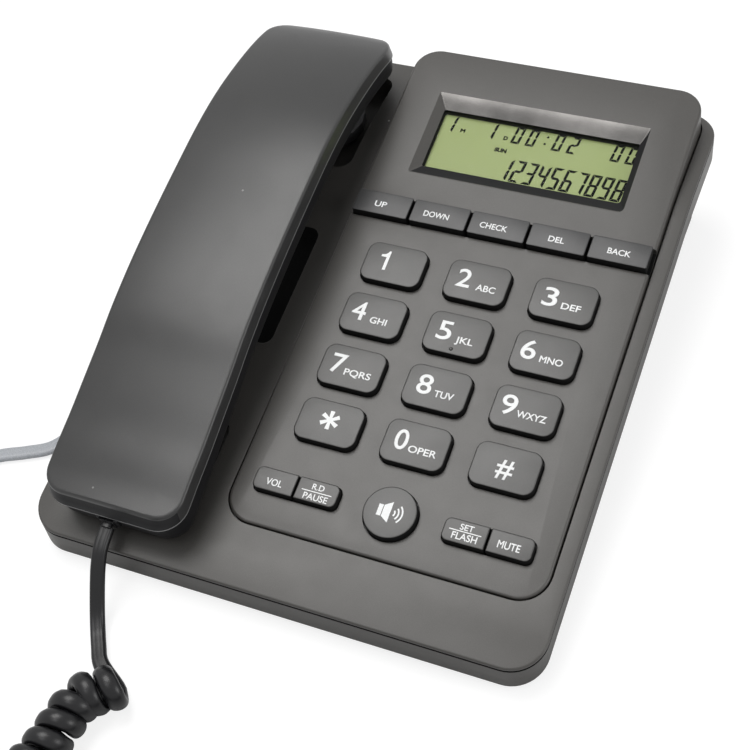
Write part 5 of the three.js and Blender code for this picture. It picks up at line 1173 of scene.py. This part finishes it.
lower_levels = [(2.4, 2.4, 2.4, shell_top(5.5)), (0.4, 0.4, 0.4, shell_top(5.45)),
                (0.6, 0.7, 0.6, lambda x, y: top_at(y) - 5.2 - side_height(y) * 0.35),
                (0.95, 1.2, 0.95, lambda x, y: top_at(y) - 5.2 - side_height(y) * 0.75),
                (1.3, 1.6, 1.3, belly(-0.4))]
for k in range(1, 6):
    a = k * math.pi / 10
    inward = 3.6 * (1 - math.cos(a))
    lower_levels.append((1.5 + inward, 1.8 + inward, 1.5 + inward, belly(1.6 * math.sin(a))))
for inset in (6.5, 9.0, 12.0, 16.0, 20.0, 22.6):
    lower_levels.append((inset, inset, inset, belly(1.6)))
handset_low = ringed("handset_lower_cover", lower_levels)


def boss_solid(name, y0, y1, half, radius, floor, lift, round_by=1.2):
    """The earpiece or mouthpiece block under the handset, down to its floor height."""
    ring_at = lambda inset: outline(2 * half, y1 - y0, radius, inset, 8, 10, (HX, (y0 + y1) / 2))
    rings = []
    for k in range(5):
        a = k * math.pi / 8
        up = round_by * (1 - math.cos(a))
        rings.append([(x, y, floor(y) + up) for x, y in ring_at(round_by * (1 - math.sin(a)))])
    rings.append([(x, y, belly(0)(x, y) + lift) for x, y in ring_at(0)])
    return new_object(name, *loft(rings), matrix=PANEL)


def panel_height(y, world_z):
    return (world_z - PANEL.translation.z - y * math.sin(PANEL_TILT)) / math.cos(PANEL_TILT)


def mouth_floor(y):
    world_y = (PANEL @ Vector((0, y, 0))).y
    return panel_height(y, deck_z(world_y) - 2.2 + 0.3)


mouth_boss = boss_solid("mouth_boss", -102.5, -65.5, 17.5, 7, mouth_floor, 1.5)
ear_boss = boss_solid("ear_boss", 37, 77.5, 17.5, 7, lambda y: panel_height(y, EAR_FLOOR + 0.3), 1.5)
boolean(handset_low, [mouth_boss, ear_boss], "UNION")
socket_cut = stack("socket_cut", 8.4, 16, 0.5, [(0, 3.4), (0, 10.6)], (-78.5, -106), matrix=PANEL)
holes = [socket_cut]
for k in range(3):
    holes.append(prism("ear_hole", circle(1.0, (HX + (k - 1) * 3.5, 58.25), 20), -30, -12, PANEL))
holes.append(prism("mouth_hole", circle(1.0, (HX, -84), 20), -30, 4.0, PANEL))
boolean(handset_low, holes)
smooth(handset_low, 35)
dress(handset_top, "handset", "handset_upper_shell", "shell_plastic", handset_mat, handset_front_shade_mat,
      handset_rim_highlight_mat)
dress(handset_low, "handset", "handset_lower_shell", "shell_plastic", handset_low_mat)

# Pieces that keep their solid

CARRIED = {
    "lower_housing": plastic("lower_housing_plastic", (0.030, 0.030, 0.031), 0.5, dust=0.2, edge=0.5),
    "battery_door": plastic("battery_door_plastic", (0.034, 0.034, 0.035), 0.5, dust=0.2, edge=0.5),
    "hook_plunger": plastic("plunger_plastic", (0.03, 0.03, 0.03), 0.35),
    "handset_socket": dark_mat, "receiver_capsule": dark_mat, "hook_switch": dark_mat,
    "handset_jack": dark_mat, "line_jack": dark_mat, "key_mat": mat_rubber, "main_board": board_mat,
    "microphone_capsule": steel_mat, "handset_weight": steel_mat, "loudspeaker": steel_mat,
    "battery_1": battery_mat, "battery_2": battery_mat,
}
for place in ("front_left", "front_right", "rear_left", "rear_right"):
    CARRIED["foot_" + place] = rubber_mat
    CARRIED["screw_" + place] = steel_mat
for name, material in CARRIED.items():
    obj = bpy.data.objects[name]
    if not obj.material_slots:
        obj.data.materials.append(material)
    for slot in obj.material_slots:
        slot.material = material

# Floor, light and background

floor_mesh = bpy.data.meshes.new("floor")
floor_mesh.from_pydata([(-4, -4, 0), (4, -4, 0), (4, 4, 0), (-4, 4, 0)], [], [(0, 1, 2, 3)])
floor = linked("floor", floor_mesh)
floor.location.z = -0.0002
floor_mat = bpy.data.materials.new("floor_white")
tree, shader = nodes_of(floor_mat)
shader.inputs["Roughness"].default_value = 0.9
shader.inputs["Specular IOR Level"].default_value = 0.0
rays = add_node(tree, "LightPath").outputs
seen = math_node(tree, "ADD", rays["Is Camera Ray"], rays["Is Transmission Ray"], True)
feed(tree, shader.inputs["Base Color"], mix_colour(tree, seen, (0.9, 0.9, 0.9), (0.30, 0.30, 0.30)))
feed(tree, shader.inputs["Emission Strength"], math_node(tree, "MULTIPLY", seen, 0.80))
shader.inputs["Emission Color"].default_value = (1, 1, 1, 1)
floor_mesh.materials.append(floor_mat)

world = bpy.data.worlds.new("world")
scene.world = world
world.use_nodes = True
tree = world.node_tree
tree.nodes.clear()
rays = add_node(tree, "LightPath").outputs
fill = add_node(tree, "Background", (("Color", (0.97, 0.985, 1.0)), ("Strength", 0.32)))
white = add_node(tree, "Background", (("Color", (1, 1, 1)), ("Strength", 1.0)))
seen = math_node(tree, "ADD", rays["Is Camera Ray"], rays["Is Glossy Ray"], True)
seen = math_node(tree, "ADD", seen, rays["Is Transmission Ray"], True)
sky = add_node(tree, "MixShader", ((0, seen), (1, fill.outputs[0]), (2, white.outputs[0])))
add_node(tree, "OutputWorld", ((0, sky.outputs[0]),))


def area_light(name, place, target, width, height, power, colour=(1, 1, 1)):
    data = bpy.data.lights.new(name, "AREA")
    data.shape = "RECTANGLE"
    data.size, data.size_y = width, height
    data.energy = power
    data.color = colour
    obj = linked(name, data)
    obj.location = place
    obj.rotation_euler = (Vector(target) - Vector(place)).to_track_quat("-Z", "Y").to_euler()


area_light("overhead_softbox", (-0.36, 0.20, 1.35), (-0.02, 0, 0.03), 0.80, 0.70, 11.0, (1.0, 0.99, 0.975))
area_light("front_softbox", (-0.20, -0.55, 1.30), (0, 0, 0.03), 0.5, 0.36, 1.8)
area_light("right_softbox", (1.05, 0.0, 0.55), (0.06, 0, 0.02), 0.5, 0.4, 3.2)

scene.view_settings.view_transform = "Standard"
